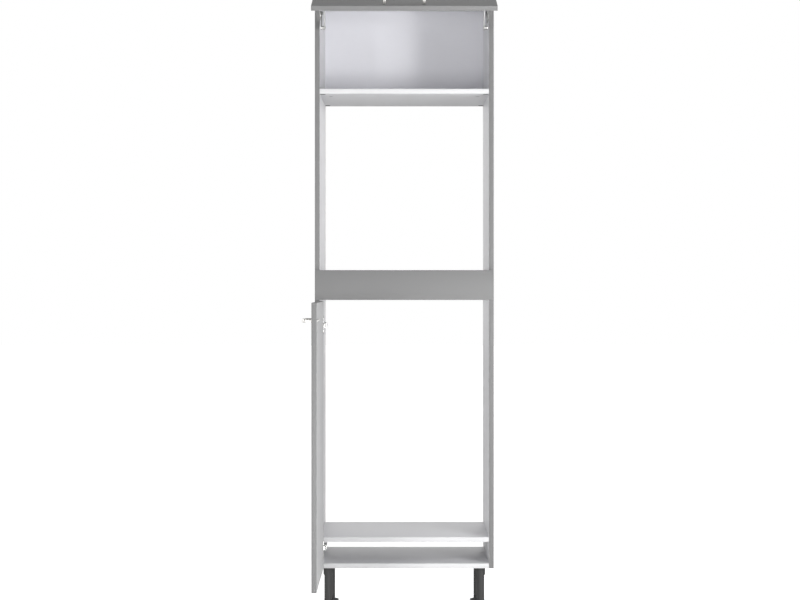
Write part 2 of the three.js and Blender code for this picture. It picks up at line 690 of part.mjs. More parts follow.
// Bracket on the flap: a foot screwed to the inner face and an ear with the hole for the link's pin
function addStayBracket(side, leaf, leafHoles) {
  const level = (layer) => -side.sign * (HALF_INNER - layer);
  const face = LEAF_INNER + FIT;
  const top = face + BRACKET_THICKNESS;
  const near = FLAP_PIN_DISTANCE - BRACKET_LENGTH / 2;
  const far = FLAP_PIN_DISTANCE + BRACKET_LENGTH / 2;
  const foot = block(face, top, near, far, level(EAR_HIGH - BRACKET_WIDTH), level(EAR_HIGH));
  const pinX = LEAF_INNER + FLAP_PIN_HEIGHT;
  const shape = new THREE.Shape();
  shape.moveTo((face + top) / 2, FLAP_PIN_DISTANCE - BRACKET_EAR_RADIUS);
  shape.lineTo(pinX, FLAP_PIN_DISTANCE - BRACKET_EAR_RADIUS);
  shape.absarc(pinX, FLAP_PIN_DISTANCE, BRACKET_EAR_RADIUS, -Math.PI / 2, Math.PI / 2, false);
  shape.lineTo((face + top) / 2, FLAP_PIN_DISTANCE + BRACKET_EAR_RADIUS);
  const bore = new THREE.Path();
  bore.absarc(pinX, FLAP_PIN_DISTANCE, STAY_PIN_RADIUS + BRACKET_HOLE_PLAY, 0, Math.PI * 2, true);
  shape.holes.push(bore);
  const earStart = Math.min(level(EAR_LOW), level(EAR_HIGH));
  const ear = extrude(shape, BRACKET_THICKNESS, SIDES_SMALL).translate(0, 0, earStart);
  const middle = level(EAR_HIGH - (BRACKET_WIDTH + BRACKET_THICKNESS) / 2);
  const screws = [];
  for (const sign of [-1, 1]) {
    const y = FLAP_PIN_DISTANCE + (sign * BRACKET_SCREW_SPACING) / 2;
    const seat = new THREE.Vector3(top, y, middle);
    screws.push(aim(screw(WOOD_SCREW), seat, RIGHT));
    leafHoles.push(aim(screwHole(WOOD_SCREW), seat, RIGHT));
  }
  addMesh(`stay_bracket_${side.name}`, fuse([foot, ear, ...screws]), FINISH.steel, leaf);
}

function addStays(rig, leafHoles) {
  const place = new THREE.Vector3(LEAF_INNER + FLAP_PIN_HEIGHT, FLAP_PIN_DISTANCE, 0);
  const world = rig.leaf.localToWorld(place);
  const flapPin = new THREE.Vector2(world.y - FRONT, world.z - TOP_PANEL);
  const pivot = new THREE.Vector2(STAY_PIVOT_SETBACK, -STAY_PIVOT_DROP);
  const joint = elbow(pivot, flapPin);
  const running = STAY_PIN_RADIUS + FIT;
  for (const side of SIDES) {
    const frame = stayFrame(side);
    addStayBase(side, frame, pivot);
    const armBar = stayBar(side, ARM_LOW, pivot, joint, [running, 0]);
    const arm = [armBar, ...rivet(side, joint, (ARM_LOW + ARM_HIGH) / 2, LINK_LOW, LINK_HIGH)];
    addMesh(`stay_arm_${side.name}`, fuse(arm), FINISH.steel, frame);
    const linkBar = stayBar(side, LINK_LOW, joint, flapPin, [running, 0]);
    const link = [linkBar, ...rivet(side, flapPin, (LINK_LOW + LINK_HIGH) / 2, EAR_LOW, EAR_HIGH)];
    addMesh(`stay_link_${side.name}`, fuse(link), FINISH.steel, frame);
    addStayBracket(side, rig.leaf, leafHoles);
  }
}

// Angle brackets that hold the fixed fascia to the sides
function addFasciaBrackets() {
  const flange = FRONT - FRONT_GAP + FIT;
  const low = FASCIA_LOW + ANGLE_LIFT;
  const high = low + ANGLE_HEIGHT;
  for (const side of SIDES) {
    const face = side.sign * (HALF_INNER - FIT);
    const inner = side.sign * (HALF_INNER - FIT - ANGLE_THICKNESS);
    const reach = side.sign * (HALF_INNER - ANGLE_FLANGE);
    const leg = block(face, inner, flange, flange + ANGLE_LEG, low, high);
    const rest = block(face, reach, flange, flange + ANGLE_THICKNESS, low, high);
    const sideSeat = new THREE.Vector3(inner, FRONT + ANGLE_SCREW_OFFSET, (low + high) / 2);
    const across = side.sign * (HALF_INNER - ANGLE_SCREW_OFFSET);
    const fasciaSeat = new THREE.Vector3(across, flange + ANGLE_THICKNESS, (low + high) / 2);
    const sideScrew = aim(screw(WOOD_SCREW), sideSeat, side.inward);
    const fasciaScrew = aim(screw(WOOD_SCREW), fasciaSeat, BACKWARD);
    holes[side.name].push(aim(screwHole(WOOD_SCREW), sideSeat, side.inward));
    holes.fascia.push(aim(screwHole(WOOD_SCREW), fasciaSeat, BACKWARD));
    addMesh(`fascia_bracket_${side.name}`, fuse([leg, rest, sideScrew, fasciaScrew]), FINISH.steel);
  }
}

// Back panel with the screws that hold it to the rear edges of the two full-depth boards
function addBackPanel() {
  const screws = [];
  const reach = HALF_INNER - BACK_SCREW_MARGIN;
  for (const shelf of SHELVES.filter((each) => each.depth === CLOSED_DEPTH)) {
    for (let i = 0; i < BACK_SCREW_COUNT; i += 1) {
      const x = -reach + (2 * reach * i) / (BACK_SCREW_COUNT - 1);
      const seat = new THREE.Vector3(x, BACK_FACE + BACK_THICKNESS, shelf.low + BOARD / 2);
      screws.push(aim(screw(BACK_SCREW), seat, BACKWARD));
      holes[shelf.key].push(aim(screwHole(BACK_SCREW), seat, BACKWARD));
    }
  }
  const tongue = HALF_INNER + GROOVE_DEPTH;
  const sheet = block(-tongue, tongue, BACK_FACE, BACK_FACE + BACK_THICKNESS, UPPER_SHELF, CARCASS_HEIGHT);
  addMesh('back_panel', fuse([sheet, ...screws]), FINISH.back);
}

function addDoor() {
  const rig = hingeFrame(new THREE.Vector3(-HALF_INNER, FRONT, 0), RIGHT, DOOR_OPEN);
  const leafHoles = [];
  const spots = [
    { name: 'lower', z: -DOOR_HINGE_LOW },
    { name: 'upper', z: -DOOR_HINGE_HIGH },
  ];
  addHinges('door', rig, spots, holes.left, leafHoles);
  const edge = LEAF_EDGE + 2 * FRONT_HALF;
  const across = edge - DOOR_HANDLE_EDGE - HANDLE_SPACING / 2;
  const centre = new THREE.Vector3(LEAF_OUTER, across, DOOR_HANDLE_DROP - DOOR_TOP);
  addHandle('door_handle', rig.leaf, centre, BACKWARD, leafHoles);
  const panel = block(LEAF_OUTER, LEAF_INNER, LEAF_EDGE, edge, -DOOR_TOP, -DOOR_LOW);
  addMesh('door_panel', carve(panel, leafHoles), FINISH.grey, rig.leaf);
}

function addFlap() {
  const rig = hingeFrame(new THREE.Vector3(0, FRONT, TOP_PANEL), DOWN, FLAP_OPEN);
  const leafHoles = [];
  const spots = [
    { name: 'left', z: HALF_WIDTH - FLAP_HINGE_INSET },
    { name: 'right', z: FLAP_HINGE_INSET - HALF_WIDTH },
  ];
  addHinges('flap', rig, spots, holes.top, leafHoles);
  const edge = LEAF_EDGE + FLAP_TOP - FLAP_LOW;
  const centre = new THREE.Vector3(LEAF_OUTER, edge - FLAP_HANDLE_EDGE, 0);
  addHandle('flap_handle', rig.leaf, centre, UP, leafHoles);
  addStays(rig, leafHoles);
  const panel = block(LEAF_OUTER, LEAF_INNER, LEAF_EDGE, edge, -FRONT_HALF, FRONT_HALF);
  addMesh('flap_panel', carve(panel, leafHoles), FINISH.grey, rig.leaf);
}

function addBoards() {
  const front = FRONT + EDGING;
  for (const side of SIDES) {
    const face = side.sign * HALF_INNER;
    const outer = side.sign * HALF_WIDTH;
    const mouth = side.sign * (HALF_INNER - OVERRUN);
    const floor = side.sign * (HALF_INNER + GROOVE_DEPTH + FIT);
    const near = BACK_FACE - FIT;
    const far = BACK_FACE + BACK_THICKNESS + FIT;
    const groove = block(mouth, floor, near, far, -OVERRUN, CARCASS_HEIGHT + OVERRUN);
    const board = block(face, outer, front, BACK, 0, CARCASS_HEIGHT);
    addMesh(`side_${side.name}`, carve(board, [groove, ...holes[side.name]]), FINISH.white);
    addMesh(`edging_${side.name}`, block(face, outer, FRONT, front, 0, CARCASS_HEIGHT), FINISH.grey);
  }
  for (const shelf of SHELVES) {
    const high = shelf.low + BOARD;
    const board = block(-HALF_INNER, HALF_INNER, front, FRONT + shelf.depth, shelf.low, high);
    addMesh(shelf.name, carve(board, holes[shelf.key]), FINISH.white);
  }
  const inner = FRONT - FRONT_GAP;
  const fascia = block(-FRONT_HALF, FRONT_HALF, inner - FRONT_THICKNESS, inner, FASCIA_LOW, FASCIA_TOP);
  addMesh('fascia_panel', carve(fascia, holes.fascia), FINISH.grey);
}

SHELVES.forEach(addConnectors);
addLegs();
addDoor();
addFlap();
addFasciaBrackets();
addBackPanel();
addBoards();

export default housing;
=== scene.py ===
"""Looks of a tall kitchen housing with an oven niche, a fridge niche and a lift-up flap.

Each piece is modelled in millimetres in the frame of what carries it, such as the carcass, a hinge line,
a leaf or a stay. It is then placed in the object's own frame, which is in metres.
"""

from __future__ import annotations

import json
import logging
import math
from dataclasses import dataclass
from enum import Enum
from typing import Iterable, Sequence

import bmesh
import bpy
from mathutils import Matrix, Vector


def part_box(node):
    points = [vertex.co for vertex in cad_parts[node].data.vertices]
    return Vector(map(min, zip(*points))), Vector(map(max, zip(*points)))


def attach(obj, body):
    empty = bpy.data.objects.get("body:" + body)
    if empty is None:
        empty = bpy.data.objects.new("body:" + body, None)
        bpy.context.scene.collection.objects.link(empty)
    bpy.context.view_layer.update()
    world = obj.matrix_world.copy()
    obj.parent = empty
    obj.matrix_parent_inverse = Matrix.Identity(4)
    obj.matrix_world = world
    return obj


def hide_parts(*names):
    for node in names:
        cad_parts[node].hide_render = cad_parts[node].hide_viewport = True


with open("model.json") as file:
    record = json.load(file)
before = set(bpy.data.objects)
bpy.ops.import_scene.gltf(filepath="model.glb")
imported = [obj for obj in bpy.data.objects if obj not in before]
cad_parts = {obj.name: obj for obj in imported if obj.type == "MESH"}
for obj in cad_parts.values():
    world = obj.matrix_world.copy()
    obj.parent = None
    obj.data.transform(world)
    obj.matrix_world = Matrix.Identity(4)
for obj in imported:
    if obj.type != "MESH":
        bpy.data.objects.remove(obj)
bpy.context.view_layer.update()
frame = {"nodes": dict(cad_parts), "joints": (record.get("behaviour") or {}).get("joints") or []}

Point = tuple[float, float]
Triple = tuple[float, float, float]
Spot = tuple[Vector, Vector]
Mesh = bmesh.types.BMesh
Placed = tuple[Mesh, Matrix]
Tree = bpy.types.NodeTree
Socket = bpy.types.NodeSocket
Sockets = bpy.types.NodeOutputs
Group = tuple[Tree, Sockets, bpy.types.Node]
Object = bpy.types.Object

# A millimetre in metres. The lengths below it are in millimetres: how near points are merged, how near a
# plane a point lies on it, the play between pieces, and the two faces of a leaf in the leaf's frame.
MM = 0.001
MERGE = 0.004
ON_PLANE = 10 * MERGE
FIT = 0.3
LEAF_INNER = 6.5
LEAF_OUTER = -9.5
BACK = Vector((0, 1, 0))
UP = Vector((0, 0, 1))
RIGHT = Vector((1, 0, 0))
SAME = Matrix.Identity(4)
CARCASS = Matrix.Scale(MM, 4)
# Turns that lay a plate's height along X or along Y.
FLAT_TO_X = Matrix(((0, 0, 1, 0), (1, 0, 0, 0), (0, 1, 0, 0), (0, 0, 0, 1)))
FLAT_TO_Y = Matrix(((1, 0, 0, 0), (0, 0, 1, 0), (0, -1, 0, 0), (0, 0, 0, 1)))
SHARP_ANGLE = math.radians(32)
FLAT_ANGLE = math.radians(0.4)
SHELVES = ("fridge_shelf", "oven_shelf", "upper_shelf")
BOARDS = ("bottom_panel", *SHELVES, "top_panel")
JOINTS = {joint["name"]: joint for joint in frame["joints"]}

log = logging.getLogger("housing")


class Body(Enum):
    """Bodies of the frame that pieces ride on. A stay's and a foot's bodies bear the names of their nodes."""

    ROOT = "root"
    DOOR_LINKS = "door_hinge_links"
    DOOR = "door"
    FLAP_LINKS = "flap_hinge_links"
    FLAP = "flap"


ROOT = Body.ROOT.value


class Slot(Enum):
    """Material slots of the record."""

    WHITE = "white_board"
    FRONT = "grey_front"
    EDGING = "grey_edging"
    BACK = "back_board"
    BLACK = "black_plastic"
    STEEL = "steel_hardware"
    HANDLE = "satin_handle"
    ZINC = "zinc_connector"


class Side(Enum):
    """The two sides of the housing, with the sign of their X."""

    LEFT = -1
    RIGHT = 1

    @property
    def label(self) -> str:
        """The side's name as it stands in a node's name."""
        return self.name.lower()


# Shader groups


def feed(tree: Tree, target: bpy.types.Node, feeds: dict) -> None:
    """Links or sets a node's inputs.

    Args:
        tree: The node's tree.
        target: The node.
        feeds: A source socket or a constant for each input, by the input's name or number.
    """
    for key, value in feeds.items():
        if isinstance(value, bpy.types.NodeSocket):
            tree.links.new(value, target.inputs[key])
        else:
            target.inputs[key].default_value = value


def node(tree: Tree, kind: str, feeds: dict | None = None, **values: object) -> bpy.types.Node:
    """Adds a node, sets its properties and feeds its inputs.

    Args:
        tree: The tree that gets the node.
        kind: The node's type.
        feeds: Sources or constants of its inputs.
        **values: Properties by name.

    Returns:
        The new node.
    """
    made = tree.nodes.new(kind)
    for name, value in values.items():
        setattr(made, name, value)
    feed(tree, made, feeds or {})
    return made


def calc(tree: Tree, operation: str, *values: object, clamp: bool = False) -> Socket:
    """Adds a Math node on sockets or constants, and returns its result."""
    feeds = dict(enumerate(values))
    return node(tree, "ShaderNodeMath", feeds, operation=operation, use_clamp=clamp).outputs[0]


def new_group(name: str, kind: str, inputs: dict[str, str], outputs: dict[str, str]) -> Group:
    """Starts a node group.

    Args:
        name: The group's name.
        kind: The type of its tree.
        inputs: The socket type of each input.
        outputs: The socket type of each output.

    Returns:
        The tree, the sockets that bring its inputs in, and its output node.
    """
    tree = bpy.data.node_groups.new(name, kind)
    for direction, sockets in (("INPUT", inputs), ("OUTPUT", outputs)):
        for label, shape in sockets.items():
            tree.interface.new_socket(label, in_out=direction, socket_type=f"NodeSocket{shape}")
    return tree, node(tree, "NodeGroupInput").outputs, node(tree, "NodeGroupOutput")


def stretched(tree: Tree, given: Sockets) -> Socket:
    """Returns the Object coordinates times the group's Stretch input."""
    feeds = {0: node(tree, "ShaderNodeTexCoord").outputs["Object"], 1: given["Stretch"]}
    return node(tree, "ShaderNodeVectorMath", feeds, operation="MULTIPLY").outputs[0]


def scaled_noise(tree: Tree, given: Sockets, times: float, detail: float) -> Socket:
    """Adds a noise whose scale is a multiple of the group's Scale input.

    Args:
        tree: The group.
        given: Its inputs, among them Scale and Stretch.
        times: The multiple.
        detail: The noise's detail.

    Returns:
        The noise's value.
    """
    scale = calc(tree, "MULTIPLY", given["Scale"], times)
    feeds = {"Vector": stretched(tree, given), "Scale": scale, "Detail": detail}
    return node(tree, "ShaderNodeTexNoise", feeds).outputs["Fac"]


def mottle_group() -> Tree:
    """Builds the group for the small unevenness of a coated, moulded or brushed surface.

    Returns:
        A group that puts out a colour, a roughness and a height that vary over the surface.
    """
    inputs = {"Colour": "Color", "Contrast": "Float", "Roughness": "Float", "Spread": "Float"}
    inputs |= {"Scale": "Float", "Stretch": "Vector"}
    outputs = {"Colour": "Color", "Roughness": "Float", "Height": "Float"}
    tree, given, out = new_group("mottle", "ShaderNodeTree", inputs, outputs)
    broad = scaled_noise(tree, given, times=1.0, detail=3.0)
    fine = scaled_noise(tree, given, times=12.0, detail=2.0)
    darkest = calc(tree, "MULTIPLY_ADD", given["Contrast"], -0.5, 1.0)
    swing = calc(tree, "MULTIPLY_ADD", broad, given["Contrast"], darkest)
    tint = node(tree, "ShaderNodeVectorMath", {0: given["Colour"], "Scale": swing}, operation="SCALE")
    rough = calc(tree, "MULTIPLY_ADD", fine, given["Spread"], given["Roughness"], clamp=True)
    feed(tree, out, {"Colour": tint.outputs[0], "Roughness": rough, "Height": fine})
    return tree


def chips_group() -> Tree:
    """Builds the group for pressed wood: flat chips of several browns, or fibres when it is stretched.

    Returns:
        A group that puts out the colour and the height of the chips.
    """
    inputs = {"Light": "Color", "Dark": "Color", "Scale": "Float", "Stretch": "Vector"}
    outputs = {"Colour": "Color", "Height": "Float"}
    tree, given, out = new_group("pressed_chips", "ShaderNodeTree", inputs, outputs)
    cells = node(tree, "ShaderNodeTexVoronoi", {"Vector": stretched(tree, given), "Scale": given["Scale"]})
    tone = node(tree, "ShaderNodeSeparateColor", {0: cells.outputs["Color"]})
    grain = scaled_noise(tree, given, times=0.35, detail=4.0)
    blend = calc(tree, "MULTIPLY", tone.outputs[0], grain)
    mix = node(tree, "ShaderNodeMix", data_type="RGBA")
    feed(tree, mix, {"Factor": blend, "A": given["Light"], "B": given["Dark"]})
    feed(tree, out, {"Colour": mix.outputs["Result"], "Height": cells.outputs["Distance"]})
    return tree


MOTTLE = mottle_group()
CHIPS = chips_group()


def patterned(
    name: str, colour: Triple, group: Tree, feeds: dict, relief: float, fixed: dict
) -> bpy.types.Material:
    """Returns a material whose surface comes from a shader group. It is built the first time.

    Args:
        name: The material's name.
        colour: Linear colour that stands for it in a plain view.
        group: The shader group.
        feeds: The group's own values.
        relief: Depth of the group's height, in metres.
        fixed: Constants of the shader.

    Returns:
        The material.
    """
    known = bpy.data.materials.get(name)
    if known:
        return known
    made = bpy.data.materials.new(name)
    made.use_nodes = True
    tree = made.node_tree
    pattern = node(tree, "ShaderNodeGroup", feeds, node_tree=group)
    bump = node(tree, "ShaderNodeBump", {"Distance": relief, "Height": pattern.outputs["Height"]})
    varied = {"Base Color": pattern.outputs["Colour"], "Normal": bump.outputs["Normal"]}
    if "Roughness" in pattern.outputs:
        varied["Roughness"] = pattern.outputs["Roughness"]
    feed(tree, tree.nodes["Principled BSDF"], {**varied, **fixed})
    made.diffuse_color = (*colour, 1.0)
    return made


@dataclass(frozen=True)
class Finish:
    """A coated, moulded or metal finish.

    Attributes:
        name: The material's name.
        slot: The record's material slot.
        colour: Linear base colour.
        roughness: Roughness at its smoothest.
        metallic: 1 for bare or plated metal.
        contrast: How far the colour varies.
        spread: How far the roughness varies.
        scale: Scale of the broad unevenness.
        stretch: Factors on the coordinates, which draw the pattern out along small ones.
        relief: Depth of the fine unevenness, in metres.
        specular: Specular level, 0.5 for plain plastic.
    """

    name: str
    slot: Slot
    colour: Triple
    roughness: float
    metallic: float = 0.0
    contrast: float = 0.03
    spread: float = 0.06
    scale: float = 30.0
    stretch: Triple = (1.0, 1.0, 1.0)
    relief: float = 0.00002
    specular: float = 0.5

    def material(self) -> bpy.types.Material:
        """Returns the finish's material."""
        feeds = {"Colour": (*self.colour, 1.0), "Contrast": self.contrast, "Roughness": self.roughness}
        feeds |= {"Spread": self.spread, "Scale": self.scale, "Stretch": self.stretch}
        fixed = {"Metallic": self.metallic, "Specular IOR Level": self.specular}
        return patterned(self.name, self.colour, MOTTLE, feeds, self.relief, fixed)


@dataclass(frozen=True)
class PressedWood:
    """Bare particle board or hardboard, as it shows at cut edges and on a rear face.

    Attributes:
        name: The material's name.
        light: Linear colour of the pale chips.
        dark: Linear colour of the dark chips.
        scale: Scale of the chips.
        stretch: Factors on the coordinates.
        relief: Depth between the chips, in metres.
        roughness: Its roughness.
    """

    name: str
    light: Triple
    dark: Triple
    scale: float
    stretch: Triple
    relief: float
    roughness: float = 0.85

    def material(self) -> bpy.types.Material:
        """Returns the wood's material."""
        feeds = {"Light": (*self.light, 1.0), "Dark": (*self.dark, 1.0)}
        feeds |= {"Scale": self.scale, "Stretch": self.stretch}
        return patterned(self.name, self.light, CHIPS, feeds, self.relief, {"Roughness": self.roughness})


WHITE_MELAMINE = Finish(
    "white_melamine", Slot.WHITE, (0.8, 0.8, 0.815), 0.33, contrast=0.02, scale=9.0, specular=0.45
)
# Inner face of the fronts: the same white melamine as the carcass, with its colour lowered (0.6 against 0.8)
# as painted shade on the inner faces of the door and the flap.
WHITE_REVERSE_SHADED = Finish(
    "white_front_reverse", Slot.FRONT, (0.6, 0.6, 0.605), 0.5, contrast=0.02, scale=9.0, specular=0.3
)
WHITE_BAND = Finish("white_edge_band", Slot.WHITE, (0.72, 0.72, 0.73), 0.5, contrast=0.02, scale=60.0)
WHITE_LACQUER = Finish("white_lacquered_hardboard", Slot.BACK, (0.85, 0.85, 0.89), 0.55, scale=12.0)
GREY_LACQUER = Finish(
    "grey_lacquer", Slot.FRONT, (0.212, 0.212, 0.213), 0.55, contrast=0.02, scale=8.0, relief=0.00003
)
GREY_BAND = Finish("grey_edge_strip", Slot.EDGING, (0.212, 0.212, 0.213), 0.55, scale=50.0)
BLACK_PLASTIC = Finish(
    "black_plastic", Slot.BLACK, (0.01, 0.01, 0.011), 0.28, contrast=0.2, scale=60.0, specular=0.35
)
STEEL = Finish("nickel_plated_steel", Slot.STEEL, (0.62, 0.62, 0.61), 0.24, 1.0, 0.08, 0.12, 70.0)
SATIN_NICKEL = Finish(
    "satin_nickel", Slot.HANDLE, (0.6, 0.59, 0.57), 0.27, 1.0, 0.06, 0.1, 60.0, (1.0, 1.0, 12.0)
)
ZINC = Finish("die_cast_zinc", Slot.ZINC, (0.42, 0.42, 0.43), 0.42, 1.0, 0.12, 0.14, 160.0)
SCREW_STEEL = Finish("zinc_plated_screw", Slot.STEEL, (0.6, 0.6, 0.58), 0.3, 1.0, 0.1, 0.1, 220.0)
CHIPBOARD = PressedWood(
    "bare_particle_board", (0.6, 0.44, 0.27), (0.22, 0.13, 0.07), 520.0, (1, 1, 1), 0.0002
)
HARDBOARD = PressedWood("bare_hardboard", (0.34, 0.19, 0.1), (0.2, 0.1, 0.05), 900.0, (1, 1, 0.2), 0.0001)
FRONT_FINISHES = (GREY_LACQUER, WHITE_REVERSE_SHADED, CHIPBOARD)


# Mesh helpers


def box(name: str) -> Spot:
    """Returns the low and the high corner of a CAD node's box, in millimetres."""
    low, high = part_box(name)
    return low / MM, high / MM


def basis(x_axis: Vector, y_axis: Vector) -> Matrix:
    """Makes the turn of a frame whose X and Y have the given directions."""
    return Matrix((x_axis, y_axis, x_axis.cross(y_axis))).transposed().to_4x4()


def place(origin: Vector, x_axis: Vector, y_axis: Vector) -> Matrix:
    """Makes the matrix from a local frame in millimetres to the object's frame.

    Args:
        origin: The local origin, in metres.
        x_axis: Direction of the local X.
        y_axis: Direction of the local Y.

    Returns:
        The matrix.
    """
    return Matrix.Translation(origin) @ basis(x_axis, y_axis) @ CARCASS


def seats(matrix: Matrix, facing: Triple, points: Iterable[Triple]) -> list[Spot]:
    """Lists where repeated pieces stand.

    Args:
        matrix: From the local frame to the object's frame.
        facing: The local direction that they face.
        points: Their local points.

    Returns:
        A point in metres and a direction in the object's frame for each.
    """
    direction = (matrix.to_3x3() @ Vector(facing)).normalized()
    return [(matrix @ Vector(point), direction) for point in points]


def arc(centre: Point, radius: float, start: float, end: float, steps: int) -> list[Point]:
    """Lists points along an arc.

    Args:
        centre: Its centre.
        radius: Its radius.
        start: The first angle in degrees.
        end: The last angle in degrees.
        steps: How many stretches it has.

    Returns:
        The points, both ends included.
    """
    angles = [math.radians(start + (end - start) * i / steps) for i in range(steps + 1)]
    return [(centre[0] + radius * math.cos(a), centre[1] + radius * math.sin(a)) for a in angles]


def circle(centre: Point, radius: float, steps: int) -> list[Point]:
    """Lists the points of a full circle."""
    return arc(centre, radius, 0, 360, steps)[:-1]


def bend(start: Point, corner: Point, end: Point, steps: int) -> list[Point]:
    """Lists points along a curve from start to end that is drawn towards a corner."""
    a, b, c = Vector(start), Vector(corner), Vector(end)
    return [tuple(a.lerp(b, i / steps).lerp(b.lerp(c, i / steps), i / steps)) for i in range(steps + 1)]


def rounded(points: Sequence[Point], radius: float, closed: bool = True, steps: int = 4) -> list[Point]:
    """Rounds the corners of an outline or of a profile.

    Args:
        points: The corners.
        radius: How far from a corner its rounding starts, at most.
        closed: False for a profile, whose two ends stay.
        steps: Stretches in each rounding.

    Returns:
        The points of the rounded line.
    """
    most = 0.48
    made: list[Point] = []
    for i, corner in enumerate(points):
        if not closed and i in (0, len(points) - 1):
            made.append(corner)
            continue
        here = Vector(corner)
        before = Vector(points[i - 1]) - here
        after = Vector(points[(i + 1) % len(points)]) - here
        reach = min(radius, before.length * most, after.length * most)
        start, end = (here + away.normalized() * reach for away in (before, after))
        made += bend(start, here, end, steps)
    return made


def box_outline(x0: float, x1: float, y0: float, y1: float, corner: float) -> list[Point]:
    """Lists the points of a rectangle with rounded corners."""
    return rounded([(x0, y0), (x1, y0), (x1, y1), (x0, y1)], corner)


def lathe(profile: Sequence[Point], steps: int) -> Mesh:
    """Turns a profile about the local Z.

    Args:
        profile: Points of (radius, height) from the axis back to the axis.
        steps: How many facets go round.

    Returns:
        A closed mesh.
    """
    bm = bmesh.new()
    rings = []
    for radius, height in profile:
        line = [(0, 0)] if radius < MERGE else circle((0, 0), radius, steps)
        rings.append([bm.verts.new((x, y, height)) for x, y in line])
    for low, high in zip(rings, rings[1:]):
        for i in range(steps):
            j = (i + 1) % steps
            corners = [low[i % len(low)], low[j % len(low)], high[j % len(high)], high[i % len(high)]]
            unique = list(dict.fromkeys(corners))
            if len(unique) > 2:
                bm.faces.new(unique)
    bmesh.ops.recalc_face_normals(bm, faces=bm.faces)
    return bm


def plate(outlines: Sequence[Sequence[Point]], low: float, high: float, edge: float) -> Mesh:
    """Makes a flat plate with eased edges. The first outline is its rim and the others are holes.

    Args:
        outlines: Points of each outline, in the local XY plane.
        low: Height of its lower face.
        high: Height of its upper face.
        edge: Radius of its edges.

    Returns:
        A closed mesh.
    """
    curve = bpy.data.curves.new("outline", "CURVE")
    curve.dimensions = "2D"
    curve.fill_mode = "BOTH"
    curve.extrude = (high - low) / 2 - edge
    curve.bevel_depth = edge
    curve.bevel_resolution = 1
    curve.offset = -edge
    for outline in outlines:
        spline = curve.splines.new("POLY")
        spline.points.add(len(outline) - 1)
        for point, (x, y) in zip(spline.points, outline):
            point.co = (x, y, 0, 1)
        spline.use_cyclic_u = True
    holder = bpy.data.objects.new("outline", curve)
    mesh = bpy.data.meshes.new_from_object(holder)
    bm = bmesh.new()
    bm.from_mesh(mesh)
    bmesh.ops.remove_doubles(bm, verts=bm.verts, dist=MERGE)
    bmesh.ops.translate(bm, verts=bm.verts, vec=(0, 0, (low + high) / 2))
    bmesh.ops.recalc_face_normals(bm, faces=bm.faces)
    bpy.data.objects.remove(holder)
    bpy.data.curves.remove(curve)
    bpy.data.meshes.remove(mesh)
    return bm


def ring(outline: Sequence[Point], ends: Point, edge: float, count: int) -> list[Placed]:
    """Builds upright ribs in a ring about the local Z.

    Args:
        outline: The first rib, seen from above.
        ends: Their low and their high end.
        edge: Radius of their edges.
        count: How many there are.

    Returns:
        Meshes with their matrices.
    """
    turns = [Matrix.Rotation(math.tau * i / count, 4, "Z") for i in range(count)]
    return [(plate([outline], *ends, edge), turn) for turn in turns]


def mesh_data(name: str, bm: Mesh) -> bpy.types.Mesh:
    """Turns a working mesh into mesh data and frees it.

    Args:
        name: The data's name.
        bm: The working mesh.

    Returns:
        The mesh data.
    """
    mesh = bpy.data.meshes.new(name)
    bm.to_mesh(mesh)
    bm.free()
    return mesh


def linked(name: str, data: bpy.types.ID) -> Object:
    """Makes an object of some data and links it to the scene.

    Args:
        name: The object's name.
        data: Its data.

    Returns:
        The object.
    """
    made = bpy.data.objects.new(name, data)
    bpy.context.scene.collection.objects.link(made)
    return made


def joined(*parts: Placed) -> Mesh:
    """Joins meshes, each placed by a matrix, into one.

    Args:
        *parts: Pairs of a mesh and its matrix.

    Returns:
        The joined mesh.
    """
    whole = bmesh.new()
    for bm, matrix in parts:
        bm.transform(matrix)
        mesh = mesh_data("part", bm)
        whole.from_mesh(mesh)
        bpy.data.meshes.remove(mesh)
    return whole


def add_piece(
    name: str,
    bm: Mesh,
    matrix: Matrix,
    finishes: Sequence[Finish | PressedWood],
    body: str = ROOT,
    nodes: Sequence[str] | None = None,
) -> None:
    """Makes an object from a local mesh, and hands it to its body.

    Args:
        name: The piece's name.
        bm: Its mesh in the local frame.
        matrix: From the local frame to the object's frame.
        finishes: One for each material index of the mesh.
        body: The body that it rides on.
        nodes: CAD nodes that it stands for: the one of its own name unless others are given.
    """
    bm.transform(matrix)
    for edge in bm.edges:
        edge.smooth = len(edge.link_faces) == 2 and edge.calc_face_angle(0) < SHARP_ANGLE
    for face in bm.faces:
        face.smooth = True
    mesh = mesh_data(name, bm)
    for finish in finishes:
        mesh.materials.append(finish.material())
    piece = linked(name, mesh)
    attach(piece, body)
    stood_for = (name,) if nodes is None else nodes
    if stood_for:
        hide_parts(*stood_for)
    log.info("%s: %d faces on %s", name, len(mesh.polygons), body)


